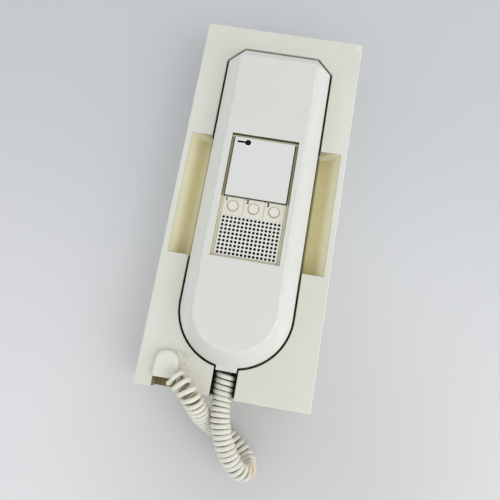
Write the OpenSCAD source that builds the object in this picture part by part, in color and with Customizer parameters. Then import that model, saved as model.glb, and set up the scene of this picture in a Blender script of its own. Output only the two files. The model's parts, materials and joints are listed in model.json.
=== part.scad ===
// Wall intercom station lying on its back: a base with a recess, a handset in it and a curly cord.
// Millimetres. The back lies on z = 0, +X is right, +Y points to the earpiece end, +Z comes off the wall.

/* [Base] */
// Width of the base
base_w = 100; // [98:0.5:108]
// Length of the base
base_l = 230; // [228:1:240]
// Height of the base's front face above the wall
base_h = 30; // [30:0.5:34]
// Wall thickness of the base cover
base_wall = 2.4; // [2:0.1:2.8]
// Radius of the base cover's upright corners
base_corner_r = 1; // [0.5:0.5:4]
// Bevel along the front edges of the base cover
base_bevel = 0.5; // [0.4:0.1:2]
// Thickness of the back plate
plate_t = 2.5; // [2:0.1:3]

/* [Recess] */
// Depth of the recess that the handset lies in
recess_depth = 16; // [15:0.5:17]
// Gap between the handset and the recess wall
recess_gap = 1.3; // [0.8:0.1:2]
// Thickness of the recess floor
floor_t = 2; // [1.5:0.1:2.4]
// Distance from the base's lower end to the handset
bottom_margin = 17; // [17:0.5:20]
// Distance from the handset to the base's upper end
top_margin = 15.7; // [15.5:0.1:20]
// Length of the two finger pockets
pocket_l = 76.4; // [50:0.2:90]
// Width of the face left outside a finger pocket
pocket_rim = 3.5; // [3:0.1:6]
// Depth of a finger pocket beside the handset
pocket_depth = 11; // [6:0.5:12]
// Width of the channel that the cord leaves through
channel_w = 14; // [13.4:0.2:15]

/* [Hood] */
// Middle of the plug hood across the base
hood_x = -33.4; // [-34:0.1:-33]
// Width of the plug hood
hood_w = 13.8; // [13.6:0.2:15]
// Length of the plug hood
hood_l = 15.2; // [14:0.2:17]
// Distance from the hood's lower end to the base's lower end
hood_margin = 5.9; // [5.8:0.1:6.6]
// Height of the hood above the face
hood_rise = 4; // [3:0.5:4.5]

/* [Handset] */
// Width of the handset
handset_w = 65; // [62:0.5:67]
// Height of the handset's front above the base's face
handset_proud = 13.5; // [12:0.5:15]
// Width of the sloping side seen from the front
handset_bevel = 8.7; // [6:0.1:10]
// Wall thickness of the handset shells
shell_t = 2.2; // [1.8:0.1:2.5]
// Distance of the joint between the shells below the base's face
split_drop = 6; // [5:0.5:7]
// Length of the sloping upper end seen from the front
end_bevel = 11.7; // [9:0.1:13]
// Cut of the handset's upper corners
corner_cut = 9.3; // [7:0.1:11]
// Width of the block that the cord leaves the handset through
nose_w = 12; // [11.4:0.2:12.8]

/* [Panel] */
// Width of the panel opening in the handset
panel_w = 39.6; // [39:0.2:42]
// Length of the panel opening
panel_l = 74.5; // [74:0.5:78]
// Distance from the handset's lower end to the panel opening
panel_up = 59.5; // [58:0.5:64]
// Width of the panel's rim
panel_rim = 2; // [1.4:0.1:2]
// Length of the key button
key_l = 36; // [34:0.5:37]
// Angle through which the key tips
key_tip = 2.5; // [1:0.1:3]
// Diameter of a round button
button_d = 6; // [5:0.1:7]
// Distance between the round buttons
button_pitch = 12; // [11:0.1:12.4]
// Length of the strip that holds the round buttons
strip_l = 10.4; // [9:0.1:10.5]
// Holes across the grille
grille_cols = 15; // [9:1:15]
// Holes along the grille
grille_rows = 10; // [6:1:10]
// Distance between the grille's holes
grille_pitch = 2.3; // [1.9:0.1:2.3]
// Diameter of a grille hole
grille_hole_d = 1.5; // [0.8:0.1:1.5]

/* [Inside] */
// Diameter of the call speaker
speaker_d = 31; // [26:0.5:31]
// Diameter of the earpiece capsule
earpiece_d = 32; // [28:0.5:36]
// Diameter of the microphone capsule
microphone_d = 9.7; // [6:0.1:11]
// Thickness of the circuit boards
board_t = 1.6; // [1:0.1:2]
// Ways of the terminal block
terminals = 8; // [4:1:8]
// Diameter of the wall screw holes
wall_hole_d = 4.4; // [3.5:0.1:6]
// Distance between the wall screw holes across
wall_holes_x = 76; // [70:1:80]
// Distance between the wall screw holes along
wall_holes_y = 150; // [120:1:180]
// Diameter of the hook plunger
plunger_d = 8; // [6:0.5:9]
// Travel of the hook plunger
plunger_travel = 3; // [2:0.1:3.2]

/* [Cord] */
// Diameter of the cord
wire_d = 2.4; // [2:0.1:2.4]
// Outer diameter of the curls
coil_d = 11.2; // [10.8:0.1:11.4]
// Number of curls
curls = 36; // [30:1:36]

/* [Hidden] */
$fn = 64;

// Small overlap that lets cuts run past a face
cut = 1;
// Clearance of a part that moves in a hole, and of a part that drops into a seat
run_gap = 0.3;
seat_gap = 0.2;
// Clearance left between two faces that touch without load
touch_gap = 0.1;
// Clearance of a screw in its pilot hole, and of a screw that passes through
pilot_gap = 0.1;
pass_gap = 0.4;

// Levels of the base
face_z = base_h;
seat_z = face_z - recess_depth;
tub_z = seat_z - floor_t;
base_end_y = -base_l / 2;
inner_w = base_w - 2 * base_wall;
inner_l = base_l - 2 * base_wall;

// Outline and levels of the handset
handset_r = handset_w / 2;
handset_y0 = base_end_y + bottom_margin;
handset_y1 = base_l / 2 - top_margin;
arc_y = handset_y0 + handset_r;
rear_z = seat_z + run_gap;
rear_floor_z = rear_z + shell_t;
rear_bevel = 2;
split_z = face_z - split_drop;
front_z = face_z + handset_proud;
ledge_z = front_z - shell_t;
corner_ease = 0.6;

// Finger pockets, each a scoop that starts at the rim and is deepest beside the handset
pocket_w = base_w / 2 - pocket_rim - handset_r;
pocket_r = (pocket_w * pocket_w + pocket_depth * pocket_depth) / (2 * pocket_depth);
pocket_z = face_z - pocket_depth + pocket_r;

// Channel and nose for the handset's end of the cord, and the boot that holds the cord behind the nose
channel_wall = 1.6;
channel_depth = 14;
channel_floor_z = face_z - channel_depth;
nose_wall = 1.2;
nose_out = 2.2;
nose_h = 13;
nose_y = handset_y0 - nose_out;
boot_w = 16;
boot_in = handset_r - sqrt(pow(handset_r - shell_t, 2) - pow(boot_w / 2, 2)) + touch_gap;
boot_y = handset_y0 + boot_in;
boot_l = 3.6;
boot_rise = 5;
boot_drop = 6;

// Hood, the niche below it and the socket inside
hood_y0 = base_end_y + hood_margin;
hood_y1 = hood_y0 + hood_l;
hood_r = hood_w / 2;
hood_edge = 1.5;
hood_wall = 1.6;
niche_depth = 14;
niche_floor_z = face_z - niche_depth;
niche_wall = 1.6;
niche_l = 11.5;
niche_back_y = base_end_y + niche_l;
socket_w = 11;
socket_h = 12;
socket_l = 10;
socket_drop = 0.6;
socket_top_z = face_z - base_wall - socket_drop;
socket_z = socket_top_z - socket_h;
plug_w = 7.6;
plug_h = 6.6;
plug_l = 9.5;
plug_tail = 1.5;
plug_drop = 9;
plug_z = face_z - plug_drop;

// Panel
panel_y0 = handset_y0 + panel_up;
panel_y1 = panel_y0 + panel_l;
bezel_t = 2;
bezel_z = ledge_z - bezel_t;
bezel_side = 2;
bezel_w = panel_w + 2 * bezel_side;
bezel_lap = 8;
inlay_w = panel_w - 2 * panel_rim;
key_y1 = panel_y1 - panel_rim;
key_y0 = key_y1 - key_l;
key_drop = 0.4;
key_z = front_z - key_drop;
key_t = 2;
key_wall = 1.6;
skirt_drop = 0.7;
skirt_z = bezel_z - skirt_drop;
lug_r = 2.2;
hinge_d = 2;
hinge_drop = 0.5;
hinge_y = key_y1 - lug_r;
hinge_z = bezel_z - hinge_drop - hinge_d / 2;
key_end_gap = run_gap + (key_z - hinge_z) * sin(key_tip);
lug_w = 2.5;
ear_w = 2.2;
strip_y1 = key_y0 - key_end_gap;
strip_y0 = strip_y1 - strip_l;
button_down = 0.2;
button_y = (strip_y0 + strip_y1) / 2 - button_down;
button_travel = 0.8;
button_rise = button_travel - touch_gap;
flange_t = 1.2;
flange_lap = 1;
flange_z = bezel_z - seat_gap - flange_t;
groove_w = 0.6;
groove_d = 0.4;
panel_foot = 1.5;
grille_y0 = panel_y0 + panel_foot;
strip_gap = 0.8;
grille_y1 = strip_y0 - strip_gap;
grille_y = (grille_y0 + grille_y1) / 2;
grille_l = grille_y1 - grille_y0;
grille_t = 1.5;
grille_proud = 0.2;
grille_z = ledge_z + grille_proud - grille_t;
grille_edge = 0.8;

// Handset board below the panel, on posts of the bezel
board_drop = 6.3;
board_z = bezel_z - board_drop;
board_y0 = button_y - flange_lap - button_d / 2;
board_in = 0.5;
board_y1 = panel_y1 + bezel_lap - board_in;
board_side = 1;
board_w = bezel_w - 2 * board_side;
post_d = 4.4;
post_screw_d = 1.8;
post_screw_l = 4.5;
post_screw_head_d = 4;
post_screw_head = 1.4;
post_in = 4;
post_up = 3.7;
low_post_in = 2.4;
low_post_up = 1;
post_x = board_w / 2 - post_in;
post_y = panel_y1 + post_up;
low_post_x = board_w / 2 - low_post_in;
low_post_y = button_y + low_post_up;
post_places = [[post_x, post_y], [-post_x, post_y], [low_post_x, low_post_y], [-low_post_x, low_post_y]];
peg_d = 2.4;
peg_l = 2.4;
peg_x = 10;
low_peg_x = 13;
low_peg_down = 4;
low_peg_y = panel_y0 - low_peg_down;
peg_places = [[peg_x, post_y], [-peg_x, post_y], [low_peg_x, low_peg_y], [-low_peg_x, low_peg_y]];
dome_r = 3;
dome_taper = 1;
key_post_r = 2.5;
key_post_up = 8;
key_post_y = key_y0 + key_post_up;
button_xs = [-button_pitch, 0, button_pitch];

// Chips on both boards
chip_w = 9;
chip_l = 7;
chip_h = 1.8;
chip_step = 16;
chip_x = 8;
chip_up = 18;
base_chip_x = 14;
base_chip_up = 44;

// Speaker, earpiece and microphone
speaker_r = speaker_d / 2;
speaker_y = button_y - button_d / 2 - flange_lap - seat_gap - speaker_r;
gasket_w = 2;
gasket_t = 0.8;
basket_flange_t = 1;
basket_h = 5;
basket_t = 1;
basket_z = bezel_z - gasket_t - basket_flange_t;
cone_gap = 0.8;
cone_r = speaker_r - gasket_w - cone_gap;
cone_t = 0.6;
magnet_r = 8;
magnet_h = 5;
magnet_edge = 1;
earpiece_down = 37;
earpiece_y = handset_y1 - earpiece_down;
earpiece_h = 8;
earpiece_gasket_t = 1;
earpiece_gasket_w = 3;
capsule_back_d = 0.6 * earpiece_d;
capsule_back_h = 1.5;
earpiece_ring_r = earpiece_d / 2 + seat_gap;
capsule_ring_t = 1.5;
capsule_ring_h = 5.5;
microphone_up = 16;
microphone_y = handset_y0 + microphone_up;
microphone_h = 6.7;
boot_wall = 2.1;
microphone_ring_r = microphone_d / 2 + boot_wall + seat_gap;
sound_hole_d = 2.5;
sound_holes_r = earpiece_d / 5;

// Screws of the handset
shell_screw_d = 2.8;
shell_screw_head_d = 5.4;
shell_screw_head = 2;
shell_boss_d = 7;
shell_screw_x = 18;
shell_screw_up = 40;
shell_screw_down = 17;
shell_screw_y0 = handset_y0 + shell_screw_up;
shell_screw_y1 = handset_y1 - shell_screw_down;
shell_screw_places = [
  [shell_screw_x, shell_screw_y1],
  [-shell_screw_x, shell_screw_y1],
  [shell_screw_x, shell_screw_y0],
  [-shell_screw_x, shell_screw_y0]];
shell_screw_sink = 4;
shell_screw_grip = 8;

// Base board on standoffs of the back plate
standoff_h = 2;
base_board_z = plate_t + standoff_h;
base_board_top = base_board_z + board_t;
base_board_w = 60;
base_board_l = 98;
base_board_in = 4;
base_board_y1 = inner_l / 2 - base_board_in;
base_board_y0 = base_board_y1 - base_board_l;
standoff_d = 6;
base_screw_d = 2.4;
base_screw_head_d = 4.6;
base_screw_head = 1.6;
standoff_x = 20;
standoff_up = 5;
standoff_down = 21;
standoff_y0 = base_board_y0 + standoff_up;
standoff_y1 = base_board_y1 - standoff_down;
standoff_places = [
  [standoff_x, standoff_y0],
  [-standoff_x, standoff_y0],
  [standoff_x, standoff_y1],
  [-standoff_x, standoff_y1]];
terminal_pitch = 5;
terminal_l = 9;
under_tub_gap = 0.5;
terminal_h = tub_z - base_board_top - under_tub_gap;
terminal_in = 6;
terminal_y = base_board_y1 - terminal_in;
terminal_row = terminals * terminal_pitch;
terminal_xs = [for (i = [0 : terminals - 1]) (i + 0.5) * terminal_pitch - terminal_row / 2];
terminal_screw_d = 3;
slot_w = 0.6;
slot_d = 0.8;
terminal_screw_l = terminal_h / 2;
terminal_wire_d = 0.35 * terminal_h;
capacitor_d = 8;
capacitor_h = terminal_h;
plunger_up = 20;
plunger_y = base_board_y0 + plunger_up;
hook_flange_lap = 2;
hook_flange_r = plunger_d / 2 + hook_flange_lap;
hook_flange_t = 0.8;
hook_flange_z = tub_z - plunger_travel - hook_flange_t - seat_gap;
cable_w = 30;
cable_l = 22;
cable_y = -30;
rest_post_d = 6;
rest_post_x = 28;
rest_post_y0 = -50;
rest_post_y1 = -10;
cover_screw_x = 30;
cover_screw_z = 8;
cover_screw_d = 2.8;
cover_screw_head_d = 5.4;
cover_screw_head = 1.8;
cover_boss_d = 9;
cover_boss_l = 2.6;
lug_l = 6.5;
screw_tip_gap = 1;
clip_w = 8;
clip_t = 1.6;
clip_h = 10;
clip_x = 30;

// Middle line of the curls: x, y from the base's lower end, z from its face, and the room of one curl
cord_route = [
  [hood_x + 6.4, 7.5, 7, 4.9],
  [-22.5, 4.7, 8.2, 5.1],
  [-18.2, 1, 8.4, 4.89],
  [-14.8, -3.3, 5.3, 4.28],
  [-12, -7.6, -0.8, 4.1],
  [-9.81, -11.45, -7.24, 3.98],
  [-6.91, -14.48, -13.33, 4.03],
  [-2.24, -18.16, -19.58, 4.24],
  [5, -21.6, -23.4, 3.65],
  [12.28, -26.8, -23.8, 3.85],
  [17.05, -30.31, -23.8, 3.78],
  [19.89, -33.08, -23.62, 8.14],
  [16.76, -36.6, -20.86, 17.51],
  [17.72, -37.31, -15.81, 10.44],
  [14.83, -37.6, -11.05, 5.82],
  [12.05, -33.81, -8.15, 3.48],
  [9.58, -30.37, -6.47, 3.23],
  [6.38, -24.96, -5.15, 3.12],
  [3.68, -19.08, -4.66, 3.1],
  [1.61, -12.6, -4.7, 3.14],
  [0.4, -5.79, -5.3, 3.12],
  [0, 1, -5.9, 3.09],
  [0, 7, -6, 3.4],
  [0, 13.5, -6, 3.5]];
curl_rings = 8;
wire_sides = 6;
wire_r = wire_d / 2;
coil_r = (coil_d - wire_d) / 2;
bend_r = 3;
bend_steps = 3;
route_steps = 12;
route_end = len(cord_route) - 1;
end_turn = 0.75;

function unit(v) = v / norm(v);
function xyz(v) = [v.x, v.y + base_end_y, v.z + face_z];
function curve(a, b, c, d, t) =
  (2 * b + (c - a) * t + (2 * a - 5 * b + 4 * c - d) * t * t + (3 * b - a - 3 * c + d) * t * t * t) / 2;
function route_at(u) =
  let (i = max(0, min(floor(u), route_end - 1)))
  curve(cord_route[max(i - 1, 0)], cord_route[i], cord_route[i + 1],
    cord_route[min(i + 2, route_end)], u - i);
function route_dir(u) =
  let (a = route_at(max(u - 0.05, 0)), b = route_at(min(u + 0.05, route_end)))
  unit(xyz(b) - xyz(a));

// Turns made up to each sample of the route, scaled so that the whole route holds the number of curls
route_us = [for (i = [0 : route_end * route_steps]) i / route_steps];
route_turns = [for (
  i = 0, turns = 0;
  i < len(route_us);
  turns = turns + (i + 1 < len(route_us)
    ? norm(xyz(route_at(route_us[i + 1])) - xyz(route_at(route_us[i]))) / route_at(route_us[i])[3]
    : 0),
  i = i + 1) turns];
all_turns = curls + end_turn;
turn_scale = all_turns / route_turns[len(route_turns) - 1];
turn_table = [for (i = [0 : len(route_us) - 1]) [route_turns[i] * turn_scale, route_us[i]]];

// A point of the helix: it starts at the left of the middle line and rises from there. Where the cord
// falls or rises, its curls lean with this share of the slope
curl_lean = 0.5;
function helix_at(turn) =
  let (
    u = lookup(turn, turn_table),
    slope = route_dir(u),
    along = unit([slope.x, slope.y, curl_lean * slope.z]),
    side = unit(cross(along, [0, 0, 1])),
    up = cross(side, along))
  xyz(route_at(u)) + coil_r * (cos(360 * turn) * side + sin(360 * turn) * up);
helix = [for (k = [0 : round(all_turns * curl_rings)]) helix_at(k / curl_rings)];
cord_start = helix[0];
cord_stop = helix[len(helix) - 1];

// The plug sits below the start of the curls, and the boot behind their end
plug_x = cord_start.x;
plug_y0 = niche_back_y - plug_tail;
niche_x0 = hood_x - hood_r - niche_wall;
niche_x1 = plug_x + plug_w / 2 + run_gap + niche_wall;
boot_exit = [cord_stop.x + bend_r, boot_y, cord_stop.z];
plug_run = [
  [plug_x, plug_y0, plug_z],
  [plug_x, (plug_y0 + cord_start.y + bend_r) / 2, plug_z]];
plug_bend = [for (k = [0 : bend_steps]) let (a = 90 * k / bend_steps)
  [plug_x, cord_start.y + bend_r * (1 - sin(a)), plug_z + bend_r * (1 - cos(a))]];
plug_rise = [[plug_x, cord_start.y, (plug_z + bend_r + cord_start.z) / 2]];
boot_bend = [for (k = [1 : bend_steps]) let (a = 90 * k / bend_steps)
  [cord_stop.x + bend_r * sin(a), cord_stop.y + bend_r * (1 - cos(a)), cord_stop.z]];
boot_run = [
  [boot_exit.x, (cord_stop.y + bend_r + boot_y) / 2, boot_exit.z],
  boot_exit];
wire = concat(plug_run, plug_bend, plug_rise, helix, boot_bend, boot_run);

// Length of a line of points
function line_length(p) =
  let (sums = [for (
    i = 1, s = 0;
    i <= len(p);
    s = s + (i < len(p) ? norm(p[i] - p[i - 1]) : 0),
    i = i + 1) s])
  sums[len(p) - 1];

// Least gap between two stretches of the wire that lie most of a curl apart
function least_gap(p) =
  min([for (i = [0 : len(p) - curl_rings], j = [i + curl_rings - 2 : len(p) - 1])
    norm(p[i] - p[j])]) - wire_d;

// A tube of triangles along a list of points, with rings that don't twist
module tube(p, r, sides) {
  n = len(p);
  dirs = [for (i = [0 : n - 1]) unit(p[min(i + 1, n - 1)] - p[max(i - 1, 0)])];
  first = unit(cross(dirs[0], [1, 1, 1]));
  normals = [for (
    i = 0, v = first;
    i < n;
    i = i + 1, v = i < n ? unit(v - (v * dirs[i]) * dirs[i]) : v) v];
  points = [for (i = [0 : n - 1], k = [0 : sides - 1]) let (a = 360 * k / sides)
    p[i] + r * (cos(a) * normals[i] + sin(a) * cross(dirs[i], normals[i]))];
  walls = [for (i = [0 : n - 2], k = [0 : sides - 1], half = [0, 1])
    let (a = i * sides + k, b = i * sides + (k + 1) % sides)
    half == 0 ? [a, a + sides, b + sides] : [a, b + sides, b]];
  ends = [for (k = [1 : sides - 2], end = [0, 1])
    end == 0 ? [0, k, k + 1] : [(n - 1) * sides, (n - 1) * sides + k + 1, (n - 1) * sides + k]];
  polyhedron(points, concat(walls, ends));
}

// A box from its lowest to its highest corner
module box(a, b) {
  translate(a) cube(b - a);
}

// A round bar along X or Y, centred on a point
module bar_x(at, d, l) {
  translate(at) rotate([0, 90, 0]) cylinder(d = d, h = l, center = true);
}

module bar_y(at, d, l) {
  translate(at) rotate([90, 0, 0]) cylinder(d = d, h = l, center = true);
}

// A flat ring
module ring(r0, r1, h) {
  difference() {
    cylinder(r = r1, h = h);
    translate([0, 0, -cut]) cylinder(r = r0, h = h + 2 * cut);
  }
}

// A body with straight sides and one round end: half is its half section as [radius, z] points
module long_body(half, y0, y1) {
  other = [for (i = [len(half) - 1 : -1 : 0]) if (half[i].x > 0) [-half[i].x, half[i].y]];
  translate([0, y1, 0]) rotate([90, 0, 0]) linear_extrude(y1 - y0) polygon(concat(half, other));
  translate([0, y0, 0]) rotate([0, 0, 180]) rotate_extrude(angle = 180) polygon(half);
}

// A half section with square corners
function slab(r, z0, z1) = [[0, z0], [r, z0], [r, z1], [0, z1]];

// Upper corners cut off the handset's outline, which is grown or shrunk for a wall round it
module corner_cuts(grow, z0, z1) {
  side = handset_r + grow + cut;
  end = handset_y1 + grow + cut;
  reach = handset_r + handset_y1 - corner_cut + grow * sqrt(2);
  translate([0, 0, z0]) linear_extrude(z1 - z0) for (s = [-1, 1])
    polygon([[s * (reach - end), end], [s * side, reach - side], [s * side, end]]);
}

// Upright block with the handset's outline, grown or shrunk
module outline_block(grow, z0, z1) {
  difference() {
    long_body(slab(handset_r + grow, z0, z1), arc_y, handset_y1 + grow);
    corner_cuts(grow, z0 - cut, z1 + cut);
  }
}

// Outer block of the base cover
module base_block() {
  side = base_w / 2;
  end = base_l / 2;
  intersection() {
    linear_extrude(base_h) union() {
      square([base_w - 2 * base_corner_r, base_l], center = true);
      square([base_w, base_l - 2 * base_corner_r], center = true);
      for (x = [-1, 1], y = [-1, 1])
        translate([x * (side - base_corner_r), y * (end - base_corner_r)]) circle(base_corner_r);
    }
    translate([0, end + cut, 0]) rotate([90, 0, 0]) linear_extrude(base_l + 2 * cut)
      polygon([[-side, 0], [side, 0], [side, base_h - base_bevel], [side - base_bevel, base_h],
        [base_bevel - side, base_h], [-side, base_h - base_bevel]]);
    translate([-side - cut, 0, 0]) rotate([90, 0, 90]) linear_extrude(base_w + 2 * cut)
      polygon([[-end, 0], [end, 0], [end, base_h - base_bevel], [end - base_bevel, base_h],
        [base_bevel - end, base_h], [-end, base_h - base_bevel]]);
  }
}

// Both finger pockets, grown by a wall for the pans under them
module pockets(grow) {
  for (side = [-1, 1])
    bar_y([side * handset_r, 0, pocket_z], 2 * (pocket_r + grow), pocket_l + 2 * grow);
}

module base_cover() {
  color("antiquewhite") difference() {
    union() {
      difference() {
        base_block();
        box([-inner_w / 2, -inner_l / 2, -cut], [inner_w / 2, inner_l / 2, face_z - base_wall]);
      }
      outline_block(recess_gap + base_wall, tub_z, face_z - base_bevel);
      intersection() {
        pockets(base_wall);
        box([-(base_w - base_wall) / 2, -base_l / 2, tub_z],
          [(base_w - base_wall) / 2, base_l / 2, face_z - base_bevel]);
      }
      box([-channel_w / 2 - channel_wall, base_end_y + base_wall / 2, channel_floor_z - channel_wall],
        [channel_w / 2 + channel_wall, handset_y0, face_z - base_bevel]);
      box([niche_x0, base_end_y + base_wall / 2, niche_floor_z - niche_wall],
        [niche_x1, niche_back_y, face_z - base_bevel]);
      translate([hood_x, 0, 0]) rotate([0, 0, 180])
        long_body([[0, face_z - base_wall], [hood_r, face_z - base_wall],
          [hood_r, face_z + hood_rise - hood_edge], [hood_r - hood_edge, face_z + hood_rise],
          [0, face_z + hood_rise]], hood_r - hood_y1, -hood_y0);
      bar_y([cover_screw_x, base_end_y + (1.5 * base_wall + cover_boss_l) / 2, cover_screw_z],
        cover_boss_d, cover_boss_l + base_wall / 2);
    }
    outline_block(recess_gap, seat_z, face_z + cut);
    pockets(0);
    box([-channel_w / 2, base_end_y - cut, channel_floor_z], [channel_w / 2, arc_y, face_z + cut]);
    box([hood_x - hood_r + seat_gap, base_end_y - cut, niche_floor_z],
      [hood_x + hood_r - seat_gap, hood_y0, face_z + hood_rise + cut]);
    box([hood_x - hood_r + hood_wall, hood_y0 - cut, niche_floor_z],
      [hood_x + hood_r - hood_wall, niche_back_y + cut, face_z + hood_rise - hood_wall]);
    box([plug_x - plug_w / 2 - run_gap, hood_y0 - cut, plug_z - plug_h / 2 - run_gap],
      [plug_x + plug_w / 2 + run_gap, niche_back_y + cut, plug_z + plug_h / 2 + run_gap]);
    translate([0, plunger_y, tub_z - cut]) cylinder(d = plunger_d + 2 * run_gap, h = floor_t + 2 * cut);
    bar_y([cover_screw_x, base_end_y, cover_screw_z], cover_screw_head_d + 2 * pass_gap,
      2 * cover_screw_head);
    bar_y([cover_screw_x, base_end_y, cover_screw_z], cover_screw_d + pass_gap,
      4 * (cover_boss_l + base_wall));
  }
}

module back_plate() {
  lug_y1 = base_end_y + base_wall + cover_boss_l + lug_l;
  color("gainsboro") difference() {
    union() {
      box([-inner_w / 2 + run_gap, -inner_l / 2 + run_gap, 0],
        [inner_w / 2 - run_gap, inner_l / 2 - run_gap, plate_t]);
      for (p = standoff_places)
        translate(p) cylinder(d = standoff_d, h = base_board_z);
      for (x = [-rest_post_x, rest_post_x], y = [rest_post_y0, rest_post_y1])
        translate([x, y, 0]) cylinder(d = rest_post_d, h = tub_z);
      box([plug_x - socket_w / 2 + seat_gap, niche_back_y + seat_gap, 0],
        [plug_x + socket_w / 2 - seat_gap, niche_back_y + socket_l, socket_z]);
      box([cover_screw_x - cover_boss_d / 2, lug_y1 - lug_l + seat_gap, 0],
        [cover_screw_x + cover_boss_d / 2, lug_y1, cover_screw_z + cover_boss_d / 2]);
      for (side = [-1, 1])
        box([side * clip_x - clip_w / 2, inner_l / 2 - run_gap - clip_t, 0],
          [side * clip_x + clip_w / 2, inner_l / 2 - run_gap, clip_h]);
    }
    for (x = [-1, 1], y = [-1, 1])
      translate([x * wall_holes_x / 2, y * wall_holes_y / 2, -cut])
        cylinder(d = wall_hole_d, h = plate_t + 2 * cut);
    box([-cable_w / 2, cable_y - cable_l / 2, -cut], [cable_w / 2, cable_y + cable_l / 2, plate_t + cut]);
    for (p = standoff_places)
      translate([p.x, p.y, plate_t / 2]) cylinder(d = base_screw_d + pilot_gap, h = base_board_z);
    bar_y([cover_screw_x, lug_y1, cover_screw_z], cover_screw_d + pilot_gap, 3 * lug_l);
  }
}

module cover_screw() {
  seat_y = base_end_y + cover_screw_head;
  tip_y = base_end_y + base_wall + cover_boss_l + lug_l - screw_tip_gap;
  color("silver") {
    bar_y([cover_screw_x, seat_y - cover_screw_head / 2, cover_screw_z], cover_screw_head_d,
      cover_screw_head);
    bar_y([cover_screw_x, (seat_y + tip_y) / 2, cover_screw_z], cover_screw_d, tip_y - seat_y);
  }
}

module base_board() {
  color("seagreen") difference() {
    box([-base_board_w / 2, base_board_y0, base_board_z],
      [base_board_w / 2, base_board_y1, base_board_top]);
    for (p = standoff_places)
      translate([p.x, p.y, base_board_z - cut])
        cylinder(d = base_screw_d + pass_gap, h = board_t + 2 * cut);
    translate([0, plunger_y, base_board_z - cut])
      cylinder(r = hook_flange_r + run_gap, h = board_t + 2 * cut);
  }
}

module base_board_screws() {
  color("silver") for (p = standoff_places) {
    translate([p.x, p.y, base_board_top]) cylinder(d = base_screw_head_d, h = base_screw_head);
    translate([p.x, p.y, plate_t]) cylinder(d = base_screw_d, h = base_board_top - plate_t);
  }
}

// Two rows of chips, from a point between the first two
module chips(at, x) {
  for (side = [-1, 1], row = [0, 1])
    translate(at + [side * x - chip_w / 2, row * chip_step, 0]) cube([chip_w, chip_l, chip_h]);
}

module base_chips() {
  color("dimgray") chips([0, base_board_y0 + base_chip_up, base_board_top], base_chip_x);
}

module base_capacitors() {
  color("midnightblue") for (side = [-1, 1])
    translate([side * (base_board_w - capacitor_d - 1) / 2, terminal_y, base_board_top])
      cylinder(d = capacitor_d, h = capacitor_h);
}

module terminal_block() {
  half = terminal_row / 2;
  top = base_board_top + terminal_h;
  color("forestgreen") difference() {
    box([-half, terminal_y - terminal_l / 2, base_board_top], [half, terminal_y + terminal_l / 2, top]);
    for (x = terminal_xs) {
      translate([x, terminal_y, top - terminal_screw_l])
        cylinder(d = terminal_screw_d + pass_gap, h = terminal_screw_l + cut);
      bar_y([x, terminal_y + terminal_l / 2, base_board_top + terminal_h / 4], terminal_wire_d, terminal_l);
    }
  }
}

module terminal_screws() {
  head_z = base_board_top + terminal_h - terminal_screw_l;
  color("silver") for (x = terminal_xs)
    translate([x, terminal_y, head_z]) difference() {
      cylinder(d = terminal_screw_d, h = terminal_screw_l - touch_gap);
      box([-terminal_screw_d, -slot_w / 2, terminal_screw_l - touch_gap - slot_d],
        [terminal_screw_d, slot_w / 2, terminal_screw_l]);
    }
}

module cord_socket() {
  color("dimgray") difference() {
    box([plug_x - socket_w / 2, niche_back_y + seat_gap, socket_z],
      [plug_x + socket_w / 2, niche_back_y + socket_l, socket_top_z]);
    box([plug_x - plug_w / 2 - seat_gap, niche_back_y - cut, plug_z - plug_h / 2 - seat_gap],
      [plug_x + plug_w / 2 + seat_gap, plug_y0 + plug_l + seat_gap, plug_z + plug_h / 2 + seat_gap]);
  }
}

module hook_plunger() {
  color("whitesmoke") translate([0, plunger_y, 0]) {
    translate([0, 0, hook_flange_z]) cylinder(d = plunger_d, h = rear_z - seat_gap - hook_flange_z);
    translate([0, 0, hook_flange_z]) cylinder(r = hook_flange_r, h = hook_flange_t);
  }
}

module hook_dome() {
  color("lightgray") translate([0, plunger_y, plate_t])
    cylinder(
      r1 = hook_flange_r - dome_taper,
      r2 = hook_flange_r - 2 * dome_taper,
      h = hook_flange_z - touch_gap - plate_t);
}

// A slope of the handset's front at a depth below its skin: where it leaves the upright wall, which
// stands far out, and where it meets the front, after running inwards
function slope_line(far, run, depth) =
  let (slope = run / handset_proud, across = depth * sqrt(1 + slope * slope))
  [[far - depth, face_z - (across - depth) / slope],
    [far - across - slope * (handset_proud - depth), front_z - depth]];

// Half section of the front from a level up to its flat
function front_half(depth, z0) = concat(
  [[0, z0], [handset_r - depth, z0]],
  slope_line(handset_r, handset_bevel, depth),
  [[0, front_z - depth]]);

// Section of all that lies beyond a slope
function beyond(line, z0) = concat(
  [[line[0].x, z0]],
  line,
  [[line[1].x, line[1].y + cut], [line[0].x + handset_r, line[1].y + cut], [line[0].x + handset_r, z0]]);

// The front at a depth below its skin, cut to its upper slope and to the slopes of its cut corners
module front_body(depth, z0) {
  reach = (handset_r + handset_y1 - corner_cut) / sqrt(2);
  run = (handset_bevel + end_bevel - corner_cut) / sqrt(2) + corner_ease;
  difference() {
    long_body(front_half(depth, z0), arc_y, handset_y1);
    rotate([90, 0, 90]) linear_extrude(2 * handset_w, center = true)
      polygon(beyond(slope_line(handset_y1, end_bevel, depth), z0 - cut));
    for (a = [-45, 45])
      rotate(a) rotate([90, 0, 90]) linear_extrude(2 * handset_w, center = true)
        polygon(beyond(slope_line(reach, run, depth), z0 - cut));
  }
}

// Block that hoods the cord where it leaves the handset, and the hole through it
module nose(z0, z1) {
  box([-nose_w / 2, nose_y, z0], [nose_w / 2, handset_y0 + shell_t, z1]);
}

module nose_hole() {
  box([-nose_w / 2 + nose_wall, nose_y - cut, face_z - nose_h + nose_wall],
    [nose_w / 2 - nose_wall, handset_y0 + 2 * shell_t, face_z - nose_wall]);
}

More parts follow.
